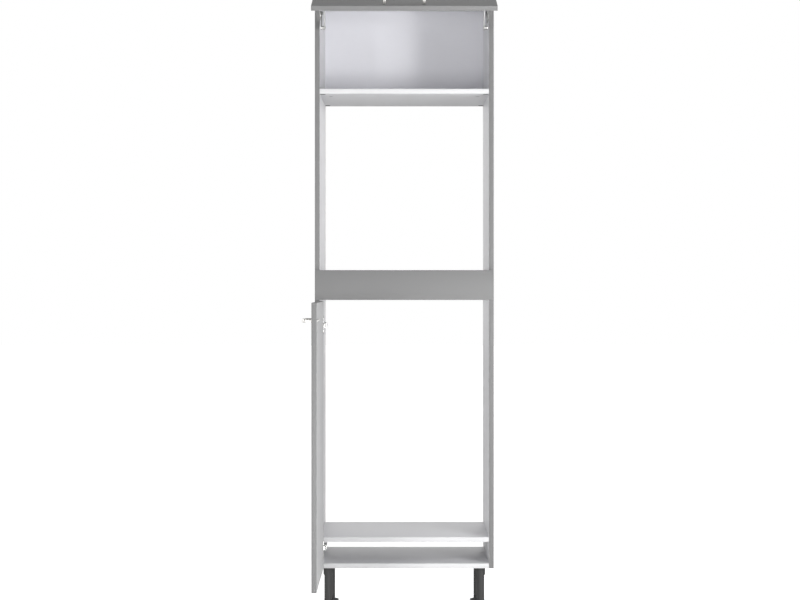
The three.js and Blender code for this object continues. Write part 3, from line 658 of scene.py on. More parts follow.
@dataclass(frozen=True)
class Board:
    """A board cut as its CAD node, with eased edges and a finish for each of its faces.

    Attributes:
        node: The CAD node.
        faces: Finish index of each outer face, in the order -x, +x, -y, +y, -z, +z of the local frame.
        finishes: The finishes. Cuts and bores show the last one.
        ease: How far its edges are rounded.
        edge_index: Finish index of the rounded edges.
    """

    node: str
    faces: tuple[int, ...]
    finishes: tuple[Finish | PressedWood, ...]
    ease: float = 0.5
    edge_index: int = 0

    def build(self, matrix: Matrix = CARCASS, body: str = ROOT) -> None:
        """Builds the board.

        Args:
            matrix: A frame in which the board's faces are square to the axes.
            body: The body that it rides on.
        """
        bm = bmesh.new()
        bm.from_mesh(frame["nodes"][self.node].data)
        bm.transform(matrix.inverted())
        bmesh.ops.remove_doubles(bm, verts=bm.verts, dist=MERGE)
        bmesh.ops.dissolve_limit(bm, angle_limit=FLAT_ANGLE, verts=bm.verts, edges=bm.edges)
        spread = [[v.co[axis] for v in bm.verts] for axis in range(3)]
        ends = [(min(values), max(values)) for values in spread]
        self.round_edges(bm, ends)
        self.paint(bm, ends)
        add_piece(f"{self.node}_board", bm, matrix, self.finishes, body, [self.node])

    def planes(self, spot: Vector, ends: Sequence[Point]) -> set[int]:
        """Lists which of the six outer planes a point lies on."""
        pairs = [(2 * axis + i, spot[axis] - end) for axis in range(3) for i, end in enumerate(ends[axis])]
        return {index for index, gap in pairs if abs(gap) < ON_PLANE}

    def round_edges(self, bm: Mesh, ends: Sequence[Point]) -> None:
        """Rounds the edges where two outer faces meet.

        Args:
            bm: The board's mesh in its own frame.
            ends: Its low and high end along each axis.
        """
        outer = []
        for edge in bm.edges:
            first, second = (self.planes(vert.co, ends) for vert in edge.verts)
            if len(first & second) >= 2:
                outer.append(edge)
        bmesh.ops.bevel(bm, geom=outer, offset=self.ease, segments=2, profile=0.5, affect="EDGES")

    def paint(self, bm: Mesh, ends: Sequence[Point]) -> None:
        """Gives each face its finish, by the outer plane that it lies on.

        Args:
            bm: The board's mesh in its own frame.
            ends: Its low and high end along each axis.
        """
        square, margin = 0.999, 2 * self.ease
        for face in bm.faces:
            centre, normal = face.calc_center_median(), face.normal
            axis = max(range(3), key=lambda i: abs(normal[i]))
            inside = all(low + margin < centre[i] < high - margin for i, (low, high) in enumerate(ends))
            if abs(normal[axis]) > square and self.planes(centre, ends):
                face.material_index = self.faces[2 * axis + (normal[axis] > 0)]
            elif inside:
                face.material_index = len(self.finishes) - 1
            else:
                face.material_index = self.edge_index


# Pieces that repeat


@dataclass(frozen=True)
class Fastener:
    """A head with a cross recess that stands on a surface.

    Attributes:
        name: The template's name.
        radius: Radius of the head.
        height: Height of the head.
        recess: How far the recess reaches out, as a share of the radius.
        sunk: How deep the head's body reaches below the surface.
        arm_width: Half the width of the recess's arms, as a share of their reach.
        floor: Where the recess ends, as a share of the height.
        sunk_floor: How much lower it ends in a sunk head, as a share of what is sunk.
        edge: Radius of the head's edges, as a share of its height.
        core: Radius of the body under the recess, as a share of the head's.
    """

    name: str
    radius: float
    height: float
    recess: float = 0.55
    sunk: float = 0.0
    arm_width: float = 0.24
    floor: float = 0.4
    sunk_floor: float = 0.2
    edge: float = 0.3
    core: float = 0.9

    def cross(self) -> list[Point]:
        """Lists the points of the recess.

        Returns:
            The points of a closed outline.
        """
        reach = self.radius * self.recess
        width = reach * self.arm_width
        made: list[Point] = []
        for quarter in range(4):
            turn = math.radians(90 * quarter)
            c, s = math.cos(turn), math.sin(turn)
            arm = ((reach, -width), (reach, width), (width, width))
            made += [(x * c - y * s, x * s + y * c) for x, y in arm]
        return made

    def template(self) -> Object:
        """Builds the head in millimetres, with its surface at zero.

        Returns:
            An object that is removed once its copies are made.
        """
        floor, core = self.height * self.floor - self.sunk * self.sunk_floor, self.radius * self.core
        rim = circle((0, 0), self.radius, steps=20)
        ring = plate([rim, self.cross()], -self.sunk, self.height, self.height * self.edge)
        disc = lathe([(0, -self.sunk), (core, -self.sunk), (core, floor), (0, floor)], steps=12)
        return linked(self.name, mesh_data(self.name, joined((ring, SAME), (disc, SAME))))


EURO_HEAD = Fastener("euro_head", 4.6, 2.4)
WOOD_HEAD = Fastener("wood_head", 3.8, 2.2)
CUP_HEAD = Fastener("cup_head", 3.8, 0.9)
HANDLE_HEAD = Fastener("handle_head", 4.0, 2.4)
BACK_HEAD = Fastener("back_head", 3.6, 2.0)
SETTING_HEAD = Fastener("setting_head", 3.4, 1.2)
CAM_HEAD = Fastener("cam_head", 7.5, 0.6, 0.6, 11.9)
# Thin black discs under the shelves' corners: painted shade where a shelf meets a side.
SHADE_DISC_HEAD = Fastener("end_head", 9.5, 0.5, 0.45, 0.3)


def standing_tree() -> Tree:
    """Builds the Geometry Nodes tree that stands a template on points, turned by a fixed seed.

    Returns:
        The tree, whose inputs besides the points are Template, Size, Seed and Finish.
    """
    inputs = {"Points": "Geometry", "Template": "Object", "Size": "Float", "Seed": "Int"}
    inputs["Finish"] = "Material"
    tree, given, out = new_group("stand_on_points", "GeometryNodeTree", inputs, {"Copies": "Geometry"})
    source = node(tree, "GeometryNodeObjectInfo", {"Object": given["Template"]}, transform_space="ORIGINAL")
    facing = node(tree, "GeometryNodeInputNamedAttribute", {"Name": "facing"}, data_type="FLOAT_VECTOR")
    aim = {"Vector": facing.outputs["Attribute"]}
    align = node(tree, "FunctionNodeAlignRotationToVector", aim, axis="Z")
    angles = {2: 0.0, 3: math.tau, "Seed": given["Seed"]}
    spin = node(tree, "FunctionNodeRandomValue", angles, data_type="FLOAT")
    turn = node(tree, "FunctionNodeAxisAngleToRotation", {"Axis": (0, 0, 1), "Angle": spin.outputs[1]})
    both = node(tree, "FunctionNodeRotateRotation", rotation_space="LOCAL")
    feed(tree, both, {"Rotation": align.outputs["Rotation"], "Rotate By": turn.outputs["Rotation"]})
    copies = node(tree, "GeometryNodeInstanceOnPoints")
    feed(tree, copies, {"Points": given["Points"], "Instance": source.outputs["Geometry"]})
    feed(tree, copies, {"Rotation": both.outputs["Rotation"], "Scale": given["Size"]})
    real = node(tree, "GeometryNodeRealizeInstances", {"Geometry": copies.outputs["Instances"]})
    finish = node(tree, "GeometryNodeSetMaterial", {"Geometry": real.outputs["Geometry"]})
    feed(tree, finish, {"Material": given["Finish"]})
    feed(tree, out, {"Copies": finish.outputs["Geometry"]})
    return tree


STANDING = standing_tree()


def stand(
    name: str,
    template: Object,
    spots: Sequence[Spot],
    finish: Finish = SCREW_STEEL,
    body: str = ROOT,
    nodes: Sequence[str] = (),
) -> None:
    """Stands copies of a template on points of one body, as one plain mesh.

    Args:
        name: The piece's name.
        template: The piece that is copied, in millimetres. It is removed.
        spots: Points and directions in the object's frame.
        finish: The finish of all copies.
        body: The body that they ride on.
        nodes: CAD nodes that they stand for.
    """
    points = bpy.data.meshes.new(name)
    points.from_pydata([spot for spot, _ in spots], [], [])
    facing = points.attributes.new("facing", "FLOAT_VECTOR", "POINT")
    for value, (_, direction) in zip(facing.data, spots):
        value.vector = direction
    holder = linked(f"{name}_points", points)
    modifier = holder.modifiers.new("stand", "NODES")
    modifier.node_group = STANDING
    inputs = {item.name: item.identifier for item in STANDING.interface.items_tree if item.in_out == "INPUT"}
    values = {"Template": template, "Size": MM, "Seed": len(spots), "Finish": finish.material()}
    for label, value in values.items():
        modifier[inputs[label]] = value
    bpy.context.view_layer.update()
    depsgraph = bpy.context.evaluated_depsgraph_get()
    mesh = bpy.data.meshes.new_from_object(holder.evaluated_get(depsgraph))
    bm = bmesh.new()
    bm.from_mesh(mesh)
    holder.modifiers.remove(modifier)
    for spare in (holder, template):
        bpy.data.objects.remove(spare)
    bpy.data.meshes.remove(mesh)
    add_piece(name, bm, SAME, [finish], body, nodes)


# Sub-assemblies


@dataclass(frozen=True)
class HingeLine:
    """The frames along one hinge line: x to the back from the carcass front, y away from the board.

    Attributes:
        joint: The joint that turns the leaf.
        corner: Where the board's inner face meets the carcass front, in metres.
        away: Direction away from the board.
    """

    joint: str
    corner: Vector
    away: Vector

    @property
    def opening(self) -> float:
        """How far the leaf stands open, in radians."""
        return -math.radians(JOINTS[self.joint]["range_deg"][0])

    @property
    def pin(self) -> Vector:
        """The hinge pin's place on the plane of the frame's origin.

        Returns:
            A point in metres.
        """
        spot = Vector(JOINTS[self.joint]["pos_m"])
        along = BACK.cross(self.away)
        return spot - along * (spot - self.corner).dot(along)

    def fixed(self) -> Matrix:
        """The frame of the pieces on the board."""
        return place(self.corner, BACK, self.away)

    def link(self) -> Matrix:
        """The frame of the sliding links, at the pin."""
        return place(self.pin, BACK, self.away)

    def leaf(self) -> Matrix:
        """The frame of the leaf, at the pin."""
        turn = Matrix.Rotation(self.opening, 3, BACK.cross(self.away))
        return place(self.pin, turn @ BACK, turn @ self.away)


@dataclass(frozen=True)
class ConcealedHinge:
    """A concealed hinge: mounting plate, arm, cranked link and cup. Sizes are in millimetres.

    Attributes:
        leaf: The leaf's name.
        label: The hinge's name, as it stands in the nodes' names.
        line: The hinge line.
        z: Its place along the line.
    """

    leaf: str
    label: str
    line: HingeLine
    z: float
    plate_start: float = 28.0
    plate_end: float = 78.0
    plate_width: float = 16.8
    plate_height: float = 3.0
    plate_screws: Point = (37.0, 69.0)
    rail_inset: float = 14.0
    rail_narrowing: float = 3.5
    rail_low: float = 1.0
    rail_high: float = 4.0
    arm_front: float = 1.0
    arm_back: float = 76.0
    arm_width: float = 17.4
    arm_height: float = 23.0
    arm_wall: float = 1.5
    arm_bend: float = 1.2
    cap_play: float = 0.3
    cap_inset: float = 0.2
    setting_screws: Point = (15.0, 50.0)
    link_low: float = 9.5
    link_thickness: float = 3.0
    link_tail: float = 54.0
    link_bend: float = 2.2
    pin_radius: float = 2.0
    barrel_radius: float = 3.0
    cup_centre: float = 0.5
    cup_radius: float = 17.5
    cup_wall: float = 1.5
    cup_floor: float = 1.3
    cup_depth: float = 11.5
    cup_rim: float = 1.5
    cup_ease: float = 0.7
    ear_end: float = 31.0
    ear_start: float = 1.0
    ear_width: float = 16.0
    ear_thickness: float = 1.0
    ear_corner: float = 6.0
    ear_overlap: float = 0.1
    ear_screw: float = 24.0

    def add(self, links: str, leaf: str) -> None:
        """Builds the four parts.

        Args:
            links: The body of the links.
            leaf: The body of the leaf.
        """
        fixed, lift = self.line.fixed(), Matrix.Translation((0, 0, self.z))
        parts = (
            ("plate", self.mounting_plate(lift @ FLAT_TO_Y), fixed, ROOT),
            ("arm", self.arm(lift @ FLAT_TO_X), fixed, ROOT),
            ("link", self.link(lift), self.line.link(), links),
            ("cup", self.cup(lift @ FLAT_TO_X), self.line.leaf(), leaf),
        )
        for part, bm, matrix, body in parts:
            add_piece(f"{self.leaf}_hinge_{part}_{self.label}", bm, matrix, [STEEL], body)

    def mounting_plate(self, turn: Matrix) -> Mesh:
        """Builds the mounting plate, with a raised middle that the arm clips to.

        Args:
            turn: Lays a plate on the board, at the hinge's place.

        Returns:
            The mesh in the board's frame.
        """
        half, top = self.plate_width / 2, self.plate_height
        foot = box_outline(self.plate_start, self.plate_end, -half, half, corner=4)
        inset, narrow = self.rail_inset, half - self.rail_narrowing
        rail = box_outline(self.plate_start + inset, self.plate_end - inset, -narrow, narrow, corner=2)
        raised = plate([rail], top - self.rail_low, top + self.rail_high, edge=0.6)
        return joined((plate([foot], FIT, top, edge=0.4), turn), (raised, turn))

    def arm(self, turn: Matrix) -> Mesh:
        """Builds the arm: a pressed channel that is closed at its rear end.

        Args:
            turn: Brings a section's height to X, at the hinge's place.

        Returns:
            The mesh in the board's frame.
        """
        half, low, high = self.arm_width / 2, self.plate_height + FIT, self.arm_height
        inner, roof, play = half - self.arm_wall, high - self.arm_wall, self.cap_play
        outer = [(low, -half), (high, -half), (high, half), (low, half)]
        hollow = [(low, inner), (roof, inner), (roof, -inner), (low, -inner)]
        section = rounded([*outer, *hollow], self.arm_bend)
        channel = plate([section], self.arm_front, self.arm_back, edge=0.25)
        end = box_outline(low, high - play, play - half, half - play, corner=2)
        cap = plate([end], self.arm_back - self.arm_wall, self.arm_back - self.cap_inset, edge=0.3)
        return joined((channel, turn), (cap, turn))

    def link(self, lift: Matrix) -> Mesh:
        """Builds the cranked link with its barrel and the pin in the cup.

        Args:
            lift: The way to the hinge's place.

        Returns:
            The mesh in the links' frame.
        """
        half = self.arm_width / 2 - self.arm_wall - FIT
        t, low = self.link_thickness / 2, self.link_low
        high = low + self.link_thickness
        crank = [(-t, 0), (-t, high), (self.link_tail, high), (self.link_tail, low), (t, low), (t, 0)]
        bar = plate([rounded(crank, self.link_bend)], self.z - half, self.z + half, edge=0.4)
        pin_half = self.cup_radius - self.cup_wall - 2 * FIT
        turned = []
        for r, reach in ((self.pin_radius, pin_half), (self.barrel_radius, half)):
            corners = [(0, -reach), (r, -reach), (r, reach), (0, reach)]
            turned.append((lathe(rounded(corners, radius=0.5, closed=False), steps=20), lift))
        return joined((bar, SAME), *turned)

    def cup(self, turn: Matrix) -> Mesh:
        """Builds the cup with its rim and the two ears that are screwed to the leaf.

        Args:
            turn: Brings the cup's axis to X, at the hinge's place.

        Returns:
            The mesh in the leaf's frame.
        """
        face = LEAF_INNER + FIT
        rim, floor = face + self.ear_thickness, LEAF_INNER - self.cup_depth
        inner, outer = self.cup_radius - self.cup_wall, self.cup_radius + self.cup_rim
        wall = [(0, floor), (self.cup_radius, floor), (self.cup_radius, face), (outer, face), (outer, rim)]
        hollow = [(inner, rim), (inner, floor + self.cup_floor), (0, floor + self.cup_floor)]
        bowl = lathe(rounded([*wall, *hollow], self.cup_ease, closed=False, steps=3), steps=56)
        y0 = self.cup_centre + self.ear_start
        y1 = y0 + self.ear_width
        reach = outer - self.ear_overlap
        a0, a1 = (math.degrees(math.acos((y - self.cup_centre) / reach)) for y in (y1, y0))
        parts = [(bowl, turn @ Matrix.Translation((self.cup_centre, 0, 0)))]
        for sign in (-1, 1):
            corners = [(y0, reach), (y0, self.ear_end), (y1, self.ear_end), (y1, reach)]
            ear = rounded(corners, self.ear_corner, closed=False)
            ear += arc((self.cup_centre, 0), reach, a0, a1, steps=10)
            parts.append((plate([[(y, sign * z) for y, z in ear]], face, rim, edge=0.25), turn))
        return joined(*parts)

    def board_seats(self, height: float, places: Point) -> list[Spot]:
        """Seats of screws on the plate or on the arm.

        Args:
            height: How far the surface stands off the board.
            places: The screws' places behind the carcass front.

        Returns:
            The seats.
        """
        return seats(self.line.fixed(), (0, 1, 0), [(x, height, self.z) for x in places])

    def cup_seats(self) -> list[Spot]:
        """Seats of the cup's two screws.

        Returns:
            The seats.
        """
        y = self.cup_centre + self.ear_start + self.ear_width / 2
        x = LEAF_INNER + FIT + self.ear_thickness
        points = [(x, y, self.z + sign * self.ear_screw) for sign in (-1, 1)]
        return seats(self.line.leaf(), (1, 0, 0), points)


@dataclass(frozen=True)
class BowHandle:
    """A bow handle with two feet, in a frame whose x runs along it and y away from the front.

    Attributes:
        node: Its CAD node.
        centre: Middle of its two feet, in the leaf's frame.
        along: Its direction in the leaf's frame.
    """

    node: str
    centre: Triple
    along: Vector
    spacing: float = 128.0
    height: float = 11.0
    reach: float = 33.0
    post: float = 10.0
    bar: float = 8.0
    crown: float = 3.0
    outer_radius: float = 14.0
    inner_radius: float = 7.0
    edge: float = 1.6
    front: float = LEAF_INNER - LEAF_OUTER

    def frame(self, leaf: Matrix) -> Matrix:
        """The handle's frame, from the leaf's."""
        return leaf @ Matrix.Translation(self.centre) @ basis(self.along, -RIGHT)

    def outline(self) -> list[Point]:
        """Lists the points of the bow, seen from the side.

        Returns:
            The points of a closed outline.
        """
        half, gap = (self.spacing + self.post) / 2, (self.spacing - self.post) / 2
        shoulder = self.reach - self.crown
        inside = shoulder - self.bar
        r, big = self.inner_radius, self.outer_radius
        right = bend((gap - r, inside), (gap, inside), (gap, inside - r), steps=8)
        left = bend((-gap, inside - r), (-gap, inside), (-gap + r, inside), steps=8)
        under = bend((-gap + r, inside), (0, inside + self.crown), (gap - r, inside), steps=20)[1:-1]
        crest = (0, self.reach + self.crown)
        top = bend((half - big, shoulder), crest, (big - half, shoulder), steps=24)[1:-1]
        outer_right = bend((half, shoulder - big), (half, shoulder), (half - big, shoulder), steps=10)
        outer_left = bend((big - half, shoulder), (-half, shoulder), (-half, shoulder - big), steps=10)
        inner = [(-half, FIT), (-gap, FIT), *left, *under, *right, (gap, FIT)]
        return [*inner, (half, FIT), *outer_right, *top, *outer_left]

    def add(self, leaf: Matrix, body: str) -> None:
        """Builds the handle on its leaf."""
        bow = plate([self.outline()], -self.height / 2, self.height / 2, self.edge)
        add_piece(self.node, bow, self.frame(leaf), [SATIN_NICKEL], body)

    def screw_seats(self, leaf: Matrix) -> list[Spot]:
        """Seats of its screws on the inner face of the leaf."""
        points = [(sign * self.spacing / 2, -self.front, 0) for sign in (-1, 1)]
        return seats(self.frame(leaf), (0, -1, 0), points)


@dataclass(frozen=True)
class Leaf:
    """A front on a hinge line: the door or the flap.

    Attributes:
        name: The leaf's name.
        line: Its hinge line.
        hinges: Its hinges.
        handle: Its handle.
        bodies: The bodies of its links and of the leaf.
    """

    name: str
    line: HingeLine
    hinges: tuple[ConcealedHinge, ...]
    handle: BowHandle
    bodies: tuple[Body, Body]

    def add(self) -> None:
        """Builds the panel, the handle, the hinges and their screws."""
        links, leaf = (body.value for body in self.bodies)
        panel = Board(f"{self.name}_panel", (0, 1, 0, 0, 0, 0), FRONT_FINISHES, ease=1.0)
        panel.build(self.line.leaf(), leaf)
        self.handle.add(self.line.leaf(), leaf)
        spots: dict[str, list[Spot]] = {"cup": [], "plate": [], "setting": []}
        for hinge in self.hinges:
            hinge.add(links, leaf)
            spots["cup"] += hinge.cup_seats()
            spots["plate"] += hinge.board_seats(hinge.plate_height, hinge.plate_screws)
            spots["setting"] += hinge.board_seats(hinge.arm_height, hinge.setting_screws)
        spots["handle"] = self.handle.screw_seats(self.line.leaf())
        heads = {"cup": CUP_HEAD, "handle": HANDLE_HEAD, "plate": EURO_HEAD, "setting": SETTING_HEAD}
        for kind, head in heads.items():
            body = leaf if kind in ("cup", "handle") else ROOT
            stand(f"{self.name}_{kind}_screws", head.template(), spots[kind], body=body)


@dataclass(frozen=True)
class Stay:
    """A two-link flap stay on one side. Layers count from the side's inner face to the middle.

    Attributes:
        side: The side that carries it.
        line: The flap's hinge line.
    """

    side: Side
    line: HingeLine
    plate_thickness: float = 2.5
    plate_box: tuple[float, float, float, float] = (14.0, 84.0, -92.0, -16.0)
    plate_corner: float = 6.0
    screw_inset: float = 9.0
    housing_box: tuple[float, float, float, float] = (17.0, 81.0, -53.0, -19.0)
    housing_corner: float = 5.0
    housing_edge: float = 1.4
    housing_reach: float = 26.0
    arm_layer: Point = (5.5, 8.5)
    link_layer: Point = (16.5, 19.5)
    ear_layer: Point = (21.0, 23.2)
    bar_radius: float = 8.0
    pin_radius: float = 3.0
    head_radius: float = 5.5
    head_height: float = 1.8
    head_flat: float = 0.7
    head_ease: float = 0.8
    pin_distance: float = 72.0
    pin_height: float = 12.5
    foot_length: float = 46.0
    foot_width: float = 20.0
    foot_thickness: float = 2.2
    foot_corner: float = 3.0
    foot_screws: float = 30.0
    ear_flare: float = 4.0
    ear_sink: float = 0.4
    hole_play: float = 0.5

    @property
    def corner(self) -> Vector:
        """Where the side, the carcass front and the top panel meet, in metres.

        Returns:
            The point.
        """
        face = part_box(f"side_{self.side.label}")
        x = face[1].x if self.side is Side.LEFT else face[0].x
        return Vector((x, self.line.corner.y, self.line.corner.z))

    def frame(self) -> Matrix:
        """The stay's frame, whose z runs from the side to the middle of the housing."""
        axes = (BACK, UP) if self.side is Side.LEFT else (UP, BACK)
        return place(self.corner, *axes)

    def flat(self, points: Sequence[Point]) -> list[Point]:
        """Turns points of (back, up) into the frame's own XY."""
        return list(points) if self.side is Side.LEFT else [(y, x) for x, y in points]

    def from_corner(self, spot: Vector) -> Point:
        """Turns a place in metres into (back, up), in millimetres."""
        reach = (spot - self.corner) / MM
        return (reach.y, reach.z)

    def level(self, layer: float) -> float:
        """The leaf frame's z of a layer."""
        return -self.side.value * (abs(self.corner.x) / MM - layer)

    def rivet(self, at: Point, start: float, layer: Point) -> Placed:
        """Builds a rivet: a boss up to a layer, an axle through it and a domed head beyond it.

        Args:
            at: Its place as (back, up).
            start: Where the boss starts.
            layer: Low and high end of the piece that turns on it.

        Returns:
            The mesh and its matrix.
        """
        low, high = layer[0] - FIT, layer[1] + FIT
        top, r = high + self.head_height, self.head_radius
        boss = [(0, start), (r, start), (r, low), (self.pin_radius, low)]
        head = [(self.pin_radius, high), (r, high), (r * self.head_flat, top), (0, top)]
        profile = rounded([*boss, *head], self.head_ease, closed=False, steps=3)
        return lathe(profile, steps=24), Matrix.Translation((*self.flat([at])[0], 0))

    def bar(self, start: Point, end: Point, layer: Point) -> Placed:
        """Builds a flat bar with round ends and a running hole at its start.

        Args:
            start: Centre of the first end.
            end: Centre of the other end.
            layer: Its low and high face.

        Returns:
            The mesh and its matrix.
        """
        turn = math.degrees(math.atan2(end[1] - start[1], end[0] - start[0]))
        rim = arc(start, self.bar_radius, turn + 90, turn + 270, steps=14)
        rim += arc(end, self.bar_radius, turn - 90, turn + 90, steps=14)
        hole = circle(start, self.pin_radius + FIT, steps=20)
        return plate([self.flat(rim), self.flat(hole)], *layer, edge=0.4), SAME

    def add(self) -> None:
        """Builds the base, the arm, the link and the bracket."""
        pivot, elbow = (
            self.from_corner(Vector(JOINTS[f"stay_{part}_swing_{self.side.label}"]["pos_m"]))
            for part in ("arm", "link")
        )
        on_leaf = Vector((LEAF_INNER + self.pin_height, self.pin_distance, 0))
        pin = self.from_corner(self.line.leaf() @ on_leaf)
        bars = (
            ("arm", pivot, elbow, self.arm_layer, self.link_layer),
            ("link", elbow, pin, self.link_layer, self.ear_layer),
        )
        self.add_base(pivot)
        for part, start, end, layer, beyond in bars:
            bm = joined(self.bar(start, end, layer), self.rivet(end, sum(layer) / 2, beyond))
            name = f"stay_{part}_{self.side.label}"
            add_piece(name, bm, self.frame(), [STEEL], name)
        self.add_bracket()

    def add_base(self, pivot: Point) -> None:
        """Builds the base plate with the housing of its friction unit.

        Args:
            pivot: Where the arm turns on it, as (back, up).
        """
        middle = self.plate_thickness / 2
        rim = self.flat(box_outline(*self.plate_box, self.plate_corner))
        cover = self.flat(box_outline(*self.housing_box, self.housing_corner))
        foot = plate([rim], FIT, self.plate_thickness, edge=0.4)
        housing = plate([cover], middle, self.housing_reach, self.housing_edge)
        bm = joined((foot, SAME), (housing, SAME), self.rivet(pivot, middle, self.arm_layer))
        add_piece(f"stay_base_{self.side.label}", bm, self.frame(), [STEEL])

    def add_bracket(self) -> None:
        """Builds the bracket on the flap, with the ear that takes the link's pin."""
        face, y, half = LEAF_INNER + FIT, self.pin_distance, self.foot_length / 2
        low, high = self.ear_layer
        across = sorted((self.level(high - self.foot_width), self.level(high)))
        rim = box_outline(y - half, y + half, *across, self.foot_corner)
        foot = plate([rim], face, face + self.foot_thickness, edge=0.4)
        pin = (LEAF_INNER + self.pin_height, y)
        wide, root = self.bar_radius + self.ear_flare, face + self.ear_sink
        outline = [*arc(pin, self.bar_radius, -90, 90, steps=16), (root, y + wide), (root, y - wide)]
        hole = circle(pin, self.pin_radius + self.hole_play, steps=20)
        ear = plate([outline, hole], *sorted((self.level(low), self.level(high))), edge=0.35)
        bm = joined((foot, FLAT_TO_X), (ear, SAME))
        add_piece(f"stay_bracket_{self.side.label}", bm, self.line.leaf(), [STEEL], Body.FLAP.value)

    def base_seats(self) -> list[Spot]:
        """Seats of the base's four screws.

        Returns:
            The seats.
        """
        x0, x1, y0, y1 = self.plate_box
        inset = self.screw_inset
        flats = self.flat([(x, y) for x in (x0 + inset, x1 - inset) for y in (y0 + inset, y1 - inset)])
        return seats(self.frame(), (0, 0, 1), [(x, y, self.plate_thickness) for x, y in flats])

    def bracket_seats(self) -> list[Spot]:
        """Seats of the bracket's two screws.

        Returns:
            The seats.
        """
        x = LEAF_INNER + FIT + self.foot_thickness
        z = self.level(self.ear_layer[1] - (self.foot_width + self.foot_thickness) / 2)
        rows = [self.pin_distance + sign * self.foot_screws / 2 for sign in (-1, 1)]
        return seats(self.line.leaf(), (1, 0, 0), [(x, y, z) for y in rows])


@dataclass(frozen=True)
class Leg:
    """An adjustable leg with its foot, in millimetres below the bottom panel.

    Attributes:
        label: Its place, as it stands in the nodes' names.
        height: From the bottom panel to the floor.
        socket_low: How far down the socket reaches that the tube goes into.
        socket_inset: How much thinner the socket is above its low end.
        socket_ends: How far the thin part starts below the flange, and how far it and the step under it end
            above the socket's low end.
        tube_low: How far down the tube reaches.
        rib_ends: How far the socket's ribs end above its low end and below the flange.
        screw_circle: Radius of the circle on which the screws stand.
        neck_low: How far down the foot's neck starts.
        neck_high: How far down it ends.
        grip_ends: How far the neck's grips end above its low end and below its high end.
    """

    label: str
    height: float = 168.0
    flange_radius: float = 25.0
    flange: float = 3.0
    socket_radius: float = 15.5
    socket_low: float = 30.0
    socket_inset: float = 0.7
    socket_ends: Triple = (0.3, 2.5, 2.0)
    tube_radius: float = 12.5
    tube_low: float = 149.7
    rib_count: int = 16
    rib_depth: float = 1.2
    rib_half: float = 0.9
    rib_ends: Point = (1.5, 0.5)
    screw_circle: float = 20.3
    screw_count: int = 3
    foot_radius: float = 26.0
    foot_rim: float = 4.0
    neck_inset: float = 0.8
    neck_low: float = 160.0
    neck_high: float = 150.0
    grip_depth: float = 1.4
    grip_half: float = 0.5
    grip_ends: Point = (0.6, 0.4)

    def frame(self) -> Matrix:
        """The leg's frame, on its axis at the underside of the bottom panel."""
        low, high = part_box(f"leg_{self.label}")
        return place(Vector(((low.x + high.x) / 2, (low.y + high.y) / 2, 0)), RIGHT, BACK)

    def add(self) -> None:
        """Builds the leg and its foot."""
        r, low, flange = self.socket_radius, -self.socket_low, -self.flange
        body, (top, bottom, step) = r - self.socket_inset, self.socket_ends
        plate_line = [(0, -FIT), (self.flange_radius, -FIT), (self.flange_radius, flange)]
        socket_line = [(body, flange - top), (body, low + bottom), (r, low + step), (r, low)]
        tube = [(self.tube_radius, low), (self.tube_radius, -self.tube_low), (0, -self.tube_low)]
        profile = rounded([*plate_line, *socket_line, *tube], radius=1.0, closed=False, steps=3)
        shape = lathe(profile, steps=48)
        outline = box_outline(r - self.rib_depth, r, -self.rib_half, self.rib_half, corner=0.5)
        ends = (low + self.rib_ends[0], flange - self.rib_ends[1])
        ribs = ring(outline, ends, edge=0.2, count=self.rib_count)
        name = f"leg_{self.label}"
        add_piece(name, joined((shape, SAME), *ribs), self.frame(), [BLACK_PLASTIC])
        self.add_foot()

    def add_foot(self) -> None:
        """Builds the foot with its cone and its knurled neck."""
        floor, low, high = -self.height, -self.neck_low, -self.neck_high
        neck, r = self.tube_radius - self.neck_inset, self.tube_radius
        disc = [(0, floor), (self.foot_radius, floor), (self.foot_radius, floor + self.foot_rim)]
        corners = [*disc, (neck, low), (neck, high), (0, high)]
        shape = lathe(rounded(corners, radius=1.2, closed=False, steps=3), steps=48)
        outline = box_outline(r - self.grip_depth, r, -self.grip_half, self.grip_half, corner=0.3)
        ends = (low + self.grip_ends[0], high - self.grip_ends[1])
        grips = ring(outline, ends, edge=0.15, count=2 * self.rib_count)
        name = f"foot_{self.label}"
        add_piece(name, joined((shape, SAME), *grips), self.frame(), [BLACK_PLASTIC], name)

    def screw_seats(self) -> list[Spot]:
        """Seats of the flange's screws.

        Returns:
            The seats.
        """
        turns = [math.tau * i / self.screw_count + math.pi / 2 for i in range(self.screw_count)]
        r, z = self.screw_circle, -FIT - self.flange
        return seats(self.frame(), (0, 0, -1), [(r * math.cos(a), r * math.sin(a), z) for a in turns])


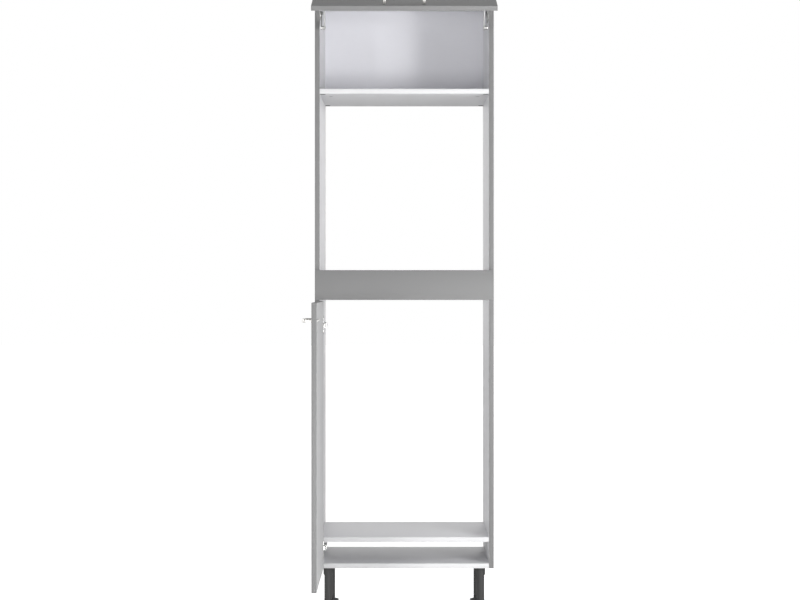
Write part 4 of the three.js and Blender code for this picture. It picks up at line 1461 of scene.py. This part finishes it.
@dataclass(frozen=True)
class Carcass:
    """Sides, boards, edging, back panel, fascia and their connectors."""

    cam_inset: float = 34.0
    cam_setback: float = 120.0
    # Places of the black discs of painted shade under the shelves: in from each side's inner face, and back
    # from the shelves' front and rear edges.
    end_inset: float = 9.8
    end_setback: float = 30.0
    bolt_radius: float = 2.6
    bolt_anchor: float = 10.0
    bolt_gap: float = 8.0
    back_inset: float = 18.0
    back_screw_margin: float = 60.0
    back_screws: int = 3
    angle_leg: float = 30.0
    angle_flange: float = 22.0
    angle_thickness: float = 2.0
    angle_bend: float = 1.2
    angle_screw: float = 13.0

    def add(self) -> None:
        """Builds every fixed board and what joins them."""
        for side in Side:
            Board(f"side_{side.label}", (0, 0, 0, 1, 1, 1), (WHITE_MELAMINE, CHIPBOARD), ease=0.3).build()
            Board(f"edging_{side.label}", (0,) * 6, (GREY_BAND,), ease=0.35).build()
        finishes = (WHITE_MELAMINE, WHITE_BAND, CHIPBOARD)
        for name in BOARDS:
            Board(name, (2, 2, 1, 2, 0, 0), finishes, edge_index=1).build()
        self.add_back()
        self.add_connectors()
        self.add_end_discs()
        self.add_fascia()

    def add_back(self) -> None:
        """Builds the back panel, white to the front and bare behind, and its screws."""
        low, high = box("back_panel")
        face = box("upper_shelf")[1].y + FIT
        rear = box("side_left")[1].y - self.back_inset
        outline = box_outline(low.x, high.x, low.z, high.z, corner=0.5)
        sheet = plate([outline], face - rear, 0, edge=0.2)
        front_facing = 0.9
        for facet in sheet.faces:
            facet.material_index = 0 if facet.normal.z > front_facing else 1
        matrix = place(Vector((0, face * MM, 0)), RIGHT, UP)
        add_piece("back_panel", sheet, matrix, [WHITE_LACQUER, HARDBOARD])
        reach = box("upper_shelf")[1].x - self.back_screw_margin
        columns = [-reach + 2 * reach * i / (self.back_screws - 1) for i in range(self.back_screws)]
        rows = [sum(corner.z for corner in box(board)) / 2 for board in ("upper_shelf", "top_panel")]
        spots = seats(CARCASS, (0, 1, 0), [(x, rear, z) for z in rows for x in columns])
        stand("back_panel_screws", BACK_HEAD.template(), spots)

    def add_connectors(self) -> None:
        """Builds the cams in the boards and the bolts that run into them."""
        cams, bolts, nodes = [], [], []
        y = box("edging_left")[0].y + self.cam_setback
        for board in BOARDS:
            low, high = box(board)
            end, sign = (high.z, 1) if board == "top_panel" else (low.z, -1)
            for side in Side:
                x = side.value * (high.x - self.cam_inset)
                cams += seats(CARCASS, (0, 0, sign), [(x, y, end - sign * CAM_HEAD.height)])
                seat = (side.value * high.x, y, (low.z + high.z) / 2)
                bolts += seats(CARCASS, (-side.value, 0, 0), [seat])
                nodes.append(f"connector_{board.split('_')[0]}_{side.label}")
        stand("cam_discs", CAM_HEAD.template(), cams, ZINC, nodes=nodes)
        stand("cam_bolts", self.bolt(), bolts)

    def add_end_discs(self) -> None:
        """Builds thin black discs under the four corners of each shelf: painted shade where a shelf meets a
        side.
        """
        spots = []
        for board in SHELVES:
            low, high = box(board)
            x, rows = high.x - self.end_inset, (low.y + self.end_setback, high.y - self.end_setback)
            spots += seats(CARCASS, (0, 0, -1), [(s * x, y, low.z) for s in (-1, 1) for y in rows])
        stand("shelf_end_discs", SHADE_DISC_HEAD.template(), spots, BLACK_PLASTIC)

    def bolt(self) -> Object:
        """Builds the cam bolt's template, whose zero is the side's face.

        Returns:
            An object that is removed once its copies are made.
        """
        r, tip, anchor = self.bolt_radius, self.cam_inset - self.bolt_gap, -self.bolt_anchor
        profile = rounded([(0, anchor), (r, anchor), (r, tip), (0, tip)], radius=0.5, closed=False)
        return linked("cam_bolt", mesh_data("cam_bolt", lathe(profile, steps=16)))

    def add_fascia(self) -> None:
        """Builds the fascia and the two angle brackets behind it."""
        Board("fascia_panel", (0, 0, 0, 1, 0, 0), FRONT_FINISHES, ease=1.0).build()
        spots = []
        for side in Side:
            name, s, t = f"fascia_bracket_{side.label}", side.value, self.angle_thickness
            low, high = box(name)
            front, rear = low.y, low.y + self.angle_leg
            inner = abs(box(f"side_{side.label}")[0 if s > 0 else 1].x)
            face, reach = inner - FIT, inner - self.angle_flange
            corners = [(face, front), (face, rear), (face - t, rear)]
            corners += [(face - t, front + t), (reach, front + t), (reach, front)]
            outline = [(s * x, y) for x, y in rounded(corners, self.angle_bend)]
            add_piece(name, plate([outline], low.z, high.z, edge=0.3), CARCASS, [STEEL])
            z = (low.z + high.z) / 2
            y = box("edging_left")[0].y + self.angle_screw
            spots += seats(CARCASS, (-s, 0, 0), [(s * (face - t), y, z)])
            spots += seats(CARCASS, (0, 1, 0), [(s * (inner - self.angle_screw), front + t, z)])
        stand("fascia_screws", WOOD_HEAD.template(), spots)


@dataclass(frozen=True)
class Lamp:
    """An area lamp that the camera doesn't see.

    Attributes:
        name: Its name.
        spot: Where it stands, in metres.
        size: Its width and height in metres.
        watts: Its power.
        target: What it is aimed at.
        mirrored: True for a lamp that shows in reflections alone.
    """

    name: str
    spot: Triple
    size: Point
    watts: float
    target: Triple = (0, -0.3, 1.0)
    mirrored: bool = False

    def add(self) -> None:
        """Adds the lamp."""
        data = bpy.data.lights.new(self.name, "AREA")
        data.shape = "RECTANGLE"
        data.size, data.size_y = self.size
        data.energy = self.watts
        lamp = linked(self.name, data)
        lamp.visible_camera = False
        lamp.visible_diffuse = not self.mirrored
        lamp.location = self.spot
        aim = Vector(self.target) - Vector(self.spot)
        lamp.rotation_euler = aim.to_track_quat("-Z", "Y").to_euler()


FEET = (0, -0.25, -0.08)
LAMPS = (
    Lamp("key", (1.35, -1.9, 1.0), (1.0, 2.4), 4),
    Lamp("front_right", (3.05, -5.4, 1.0), (1.4, 1.4), 200),
    Lamp("front_middle", (0.3, -6.8, 0.9), (1.0, 1.0), 35),
    Lamp("front_left", (-2.5, -5.6, 0.9), (1.2, 1.2), 95),
    Lamp("low_left", (-0.2, -2.2, -0.02), (0.35, 0.25), 9, FEET, mirrored=True),
    Lamp("low_right", (1.75, -2.1, -0.02), (0.35, 0.25), 30, FEET, mirrored=True),
    Lamp("left", (-5.0, 0.2, 1.2), (1.5, 2.0), 75),
    Lamp("top", (0, -1.2, 3.8), (2.0, 2.0), 5),
)


@dataclass(frozen=True)
class Studio:
    """Camera, world and floor.

    Attributes:
        image_width: Width of the photograph's frame in pixels.
        image_height: Its height.
        focal: Focal length in pixels.
        axis_point: Pixel at which the camera looks straight ahead.
        distance: From the carcass front to the camera, in metres.
        eye_height: Height of the camera above the underside of the carcass, in metres.
        sensor: Width of the camera's sensor.
        ambient: How strongly the world's front and rear light matt surfaces.
        gloss: How bright the world's front and rear are in a gloss.
        grade: How far to the front and to the rear the world changes from one to the other.
        floor_glow: How bright the floor looks of itself.
        floor_gloss: How bright it is in a gloss.
        floor_tone: Its grey.
        floor_reach: How far it goes to each side, in metres.
    """

    image_width: float = 800.0
    image_height: float = 600.0
    focal: float = 2206.7
    axis_point: Point = (404.3, 279.05)
    distance: float = 7.4
    eye_height: float = 0.97
    sensor: float = 36.0
    ambient: Point = (0.12, 0.45)
    gloss: Point = (0.3, 1.0)
    grade: float = 0.3
    floor_glow: float = 0.9
    floor_gloss: float = 0.35
    floor_tone: float = 0.8
    floor_reach: float = 30.0

    def add_camera(self) -> None:
        """Creates the camera from the photograph's viewing angle."""
        data = bpy.data.cameras.new("camera")
        data.sensor_width = self.sensor
        data.sensor_fit = "HORIZONTAL"
        data.lens = self.focal / self.image_width * self.sensor
        data.shift_x = (self.image_width / 2 - self.axis_point[0]) / self.image_width
        data.shift_y = (self.axis_point[1] - self.image_height / 2) / self.image_width
        camera = linked("camera", data)
        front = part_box("edging_left")[0].y
        camera.location = (0, front - self.distance, self.eye_height)
        camera.rotation_euler = (math.radians(90), 0, 0)
        bpy.context.scene.camera = camera

    def add_world(self) -> None:
        """Builds the world: a white background that lights the object less than it shows."""
        world = bpy.data.worlds.new("studio")
        bpy.context.scene.world = world
        world.use_nodes = True
        tree = world.node_tree
        tree.nodes.clear()
        coordinates = node(tree, "ShaderNodeTexCoord")
        direction = node(tree, "ShaderNodeSeparateXYZ", {0: coordinates.outputs["Generated"]})
        graded = []
        for front, rear in (self.ambient, self.gloss):
            feeds = {"From Min": -self.grade, "From Max": self.grade, "To Min": front, "To Max": rear}
            feeds["Value"] = direction.outputs["Y"]
            grade = node(tree, "ShaderNodeMapRange", interpolation_type="SMOOTHSTEP")
            feed(tree, grade, feeds)
            graded.append(grade.outputs["Result"])
        path = node(tree, "ShaderNodeLightPath").outputs
        glossy = node(tree, "ShaderNodeMix", data_type="FLOAT")
        feed(tree, glossy, {"Factor": path["Is Glossy Ray"], "A": graded[0], "B": graded[1]})
        shown = calc(tree, "MAXIMUM", path["Is Camera Ray"], path["Is Transmission Ray"])
        strength = node(tree, "ShaderNodeMix", data_type="FLOAT")
        feed(tree, strength, {"Factor": shown, "A": glossy.outputs["Result"], "B": 1.0})
        sky = node(tree, "ShaderNodeBackground", {"Color": (1, 1, 1, 1)})
        feed(tree, sky, {"Strength": strength.outputs["Result"]})
        node(tree, "ShaderNodeOutputWorld", {"Surface": sky.outputs[0]})

    def add_floor(self) -> None:
        """Adds the white floor, which keeps the soft shadow of the feet."""
        r, low = self.floor_reach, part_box("foot_front_left")[0].z
        bm = bmesh.new()
        bm.faces.new([bm.verts.new((x, y, low)) for x, y in ((-r, -r), (r, -r), (r, r), (-r, r))])
        mesh = mesh_data("floor", bm)
        floor = linked("floor", mesh)
        paint = bpy.data.materials.new("floor")
        paint.use_nodes = True
        tree = paint.node_tree
        tree.nodes.clear()
        path = node(tree, "ShaderNodeLightPath").outputs
        mirrored = calc(tree, "MULTIPLY", path["Is Glossy Ray"], self.floor_gloss)
        strength = calc(tree, "MULTIPLY_ADD", path["Is Camera Ray"], self.floor_glow, mirrored)
        glow = node(tree, "ShaderNodeEmission", {"Strength": strength})
        matt = node(tree, "ShaderNodeBsdfDiffuse", {"Color": (*[self.floor_tone] * 3, 1)})
        both = node(tree, "ShaderNodeAddShader", {0: glow.outputs[0], 1: matt.outputs[0]})
        node(tree, "ShaderNodeOutputMaterial", {"Surface": both.outputs[0]})
        mesh.materials.append(paint)

    def add(self) -> None:
        """Sets up the whole studio."""
        bpy.context.scene.view_settings.view_transform = "Standard"
        self.add_camera()
        for lamp in LAMPS:
            lamp.add()
        self.add_world()
        self.add_floor()


# Places in millimetres: of the hinges along their line, and of the handles in the leaf's frame.
DOOR_HINGES = {"lower": -70.0, "upper": -816.0}
DOOR_HANDLE = (LEAF_OUTER, 466.0, -841.0)
FLAP_HINGES = {"left": 200.0, "right": -200.0}
FLAP_HANDLE = (LEAF_OUTER, 289.5, 0.0)


def door_leaf() -> Leaf:
    """Describes the door with its two hinges and its handle.

    Returns:
        The door.
    """
    corner = Vector((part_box("side_left")[1].x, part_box("edging_left")[0].y, 0))
    line = HingeLine("door_swing", corner, RIGHT)
    hinges = tuple(ConcealedHinge("door", label, line, z) for label, z in DOOR_HINGES.items())
    handle = BowHandle("door_handle", DOOR_HANDLE, BACK)
    return Leaf("door", line, hinges, handle, (Body.DOOR_LINKS, Body.DOOR))


def flap_leaf() -> Leaf:
    """Describes the flap with its two hinges and its handle.

    Returns:
        The flap.
    """
    corner = Vector((0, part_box("edging_left")[0].y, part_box("top_panel")[0].z))
    line = HingeLine("flap_swing", corner, -UP)
    hinges = tuple(ConcealedHinge("flap", label, line, z) for label, z in FLAP_HINGES.items())
    handle = BowHandle("flap_handle", FLAP_HANDLE, UP)
    return Leaf("flap", line, hinges, handle, (Body.FLAP_LINKS, Body.FLAP))


def main() -> None:
    """Builds the studio and every sub-assembly in order."""
    logging.basicConfig(level=logging.INFO, format="%(name)s %(message)s")
    Studio().add()
    Carcass().add()
    flap = flap_leaf()
    for leaf in (door_leaf(), flap):
        leaf.add()
    stays = [Stay(side, flap.line) for side in Side]
    for stay in stays:
        stay.add()
    stand("stay_screws", WOOD_HEAD.template(), [spot for stay in stays for spot in stay.base_seats()])
    bracket_spots = [spot for stay in stays for spot in stay.bracket_seats()]
    stand("stay_bracket_screws", WOOD_HEAD.template(), bracket_spots, body=Body.FLAP.value)
    legs = [Leg(f"{row}_{side.label}") for row in ("front", "rear") for side in Side]
    for leg in legs:
        leg.add()
    stand("leg_screws", WOOD_HEAD.template(), [spot for leg in legs for spot in leg.screw_seats()])


if __name__ == "__main__":
    main()
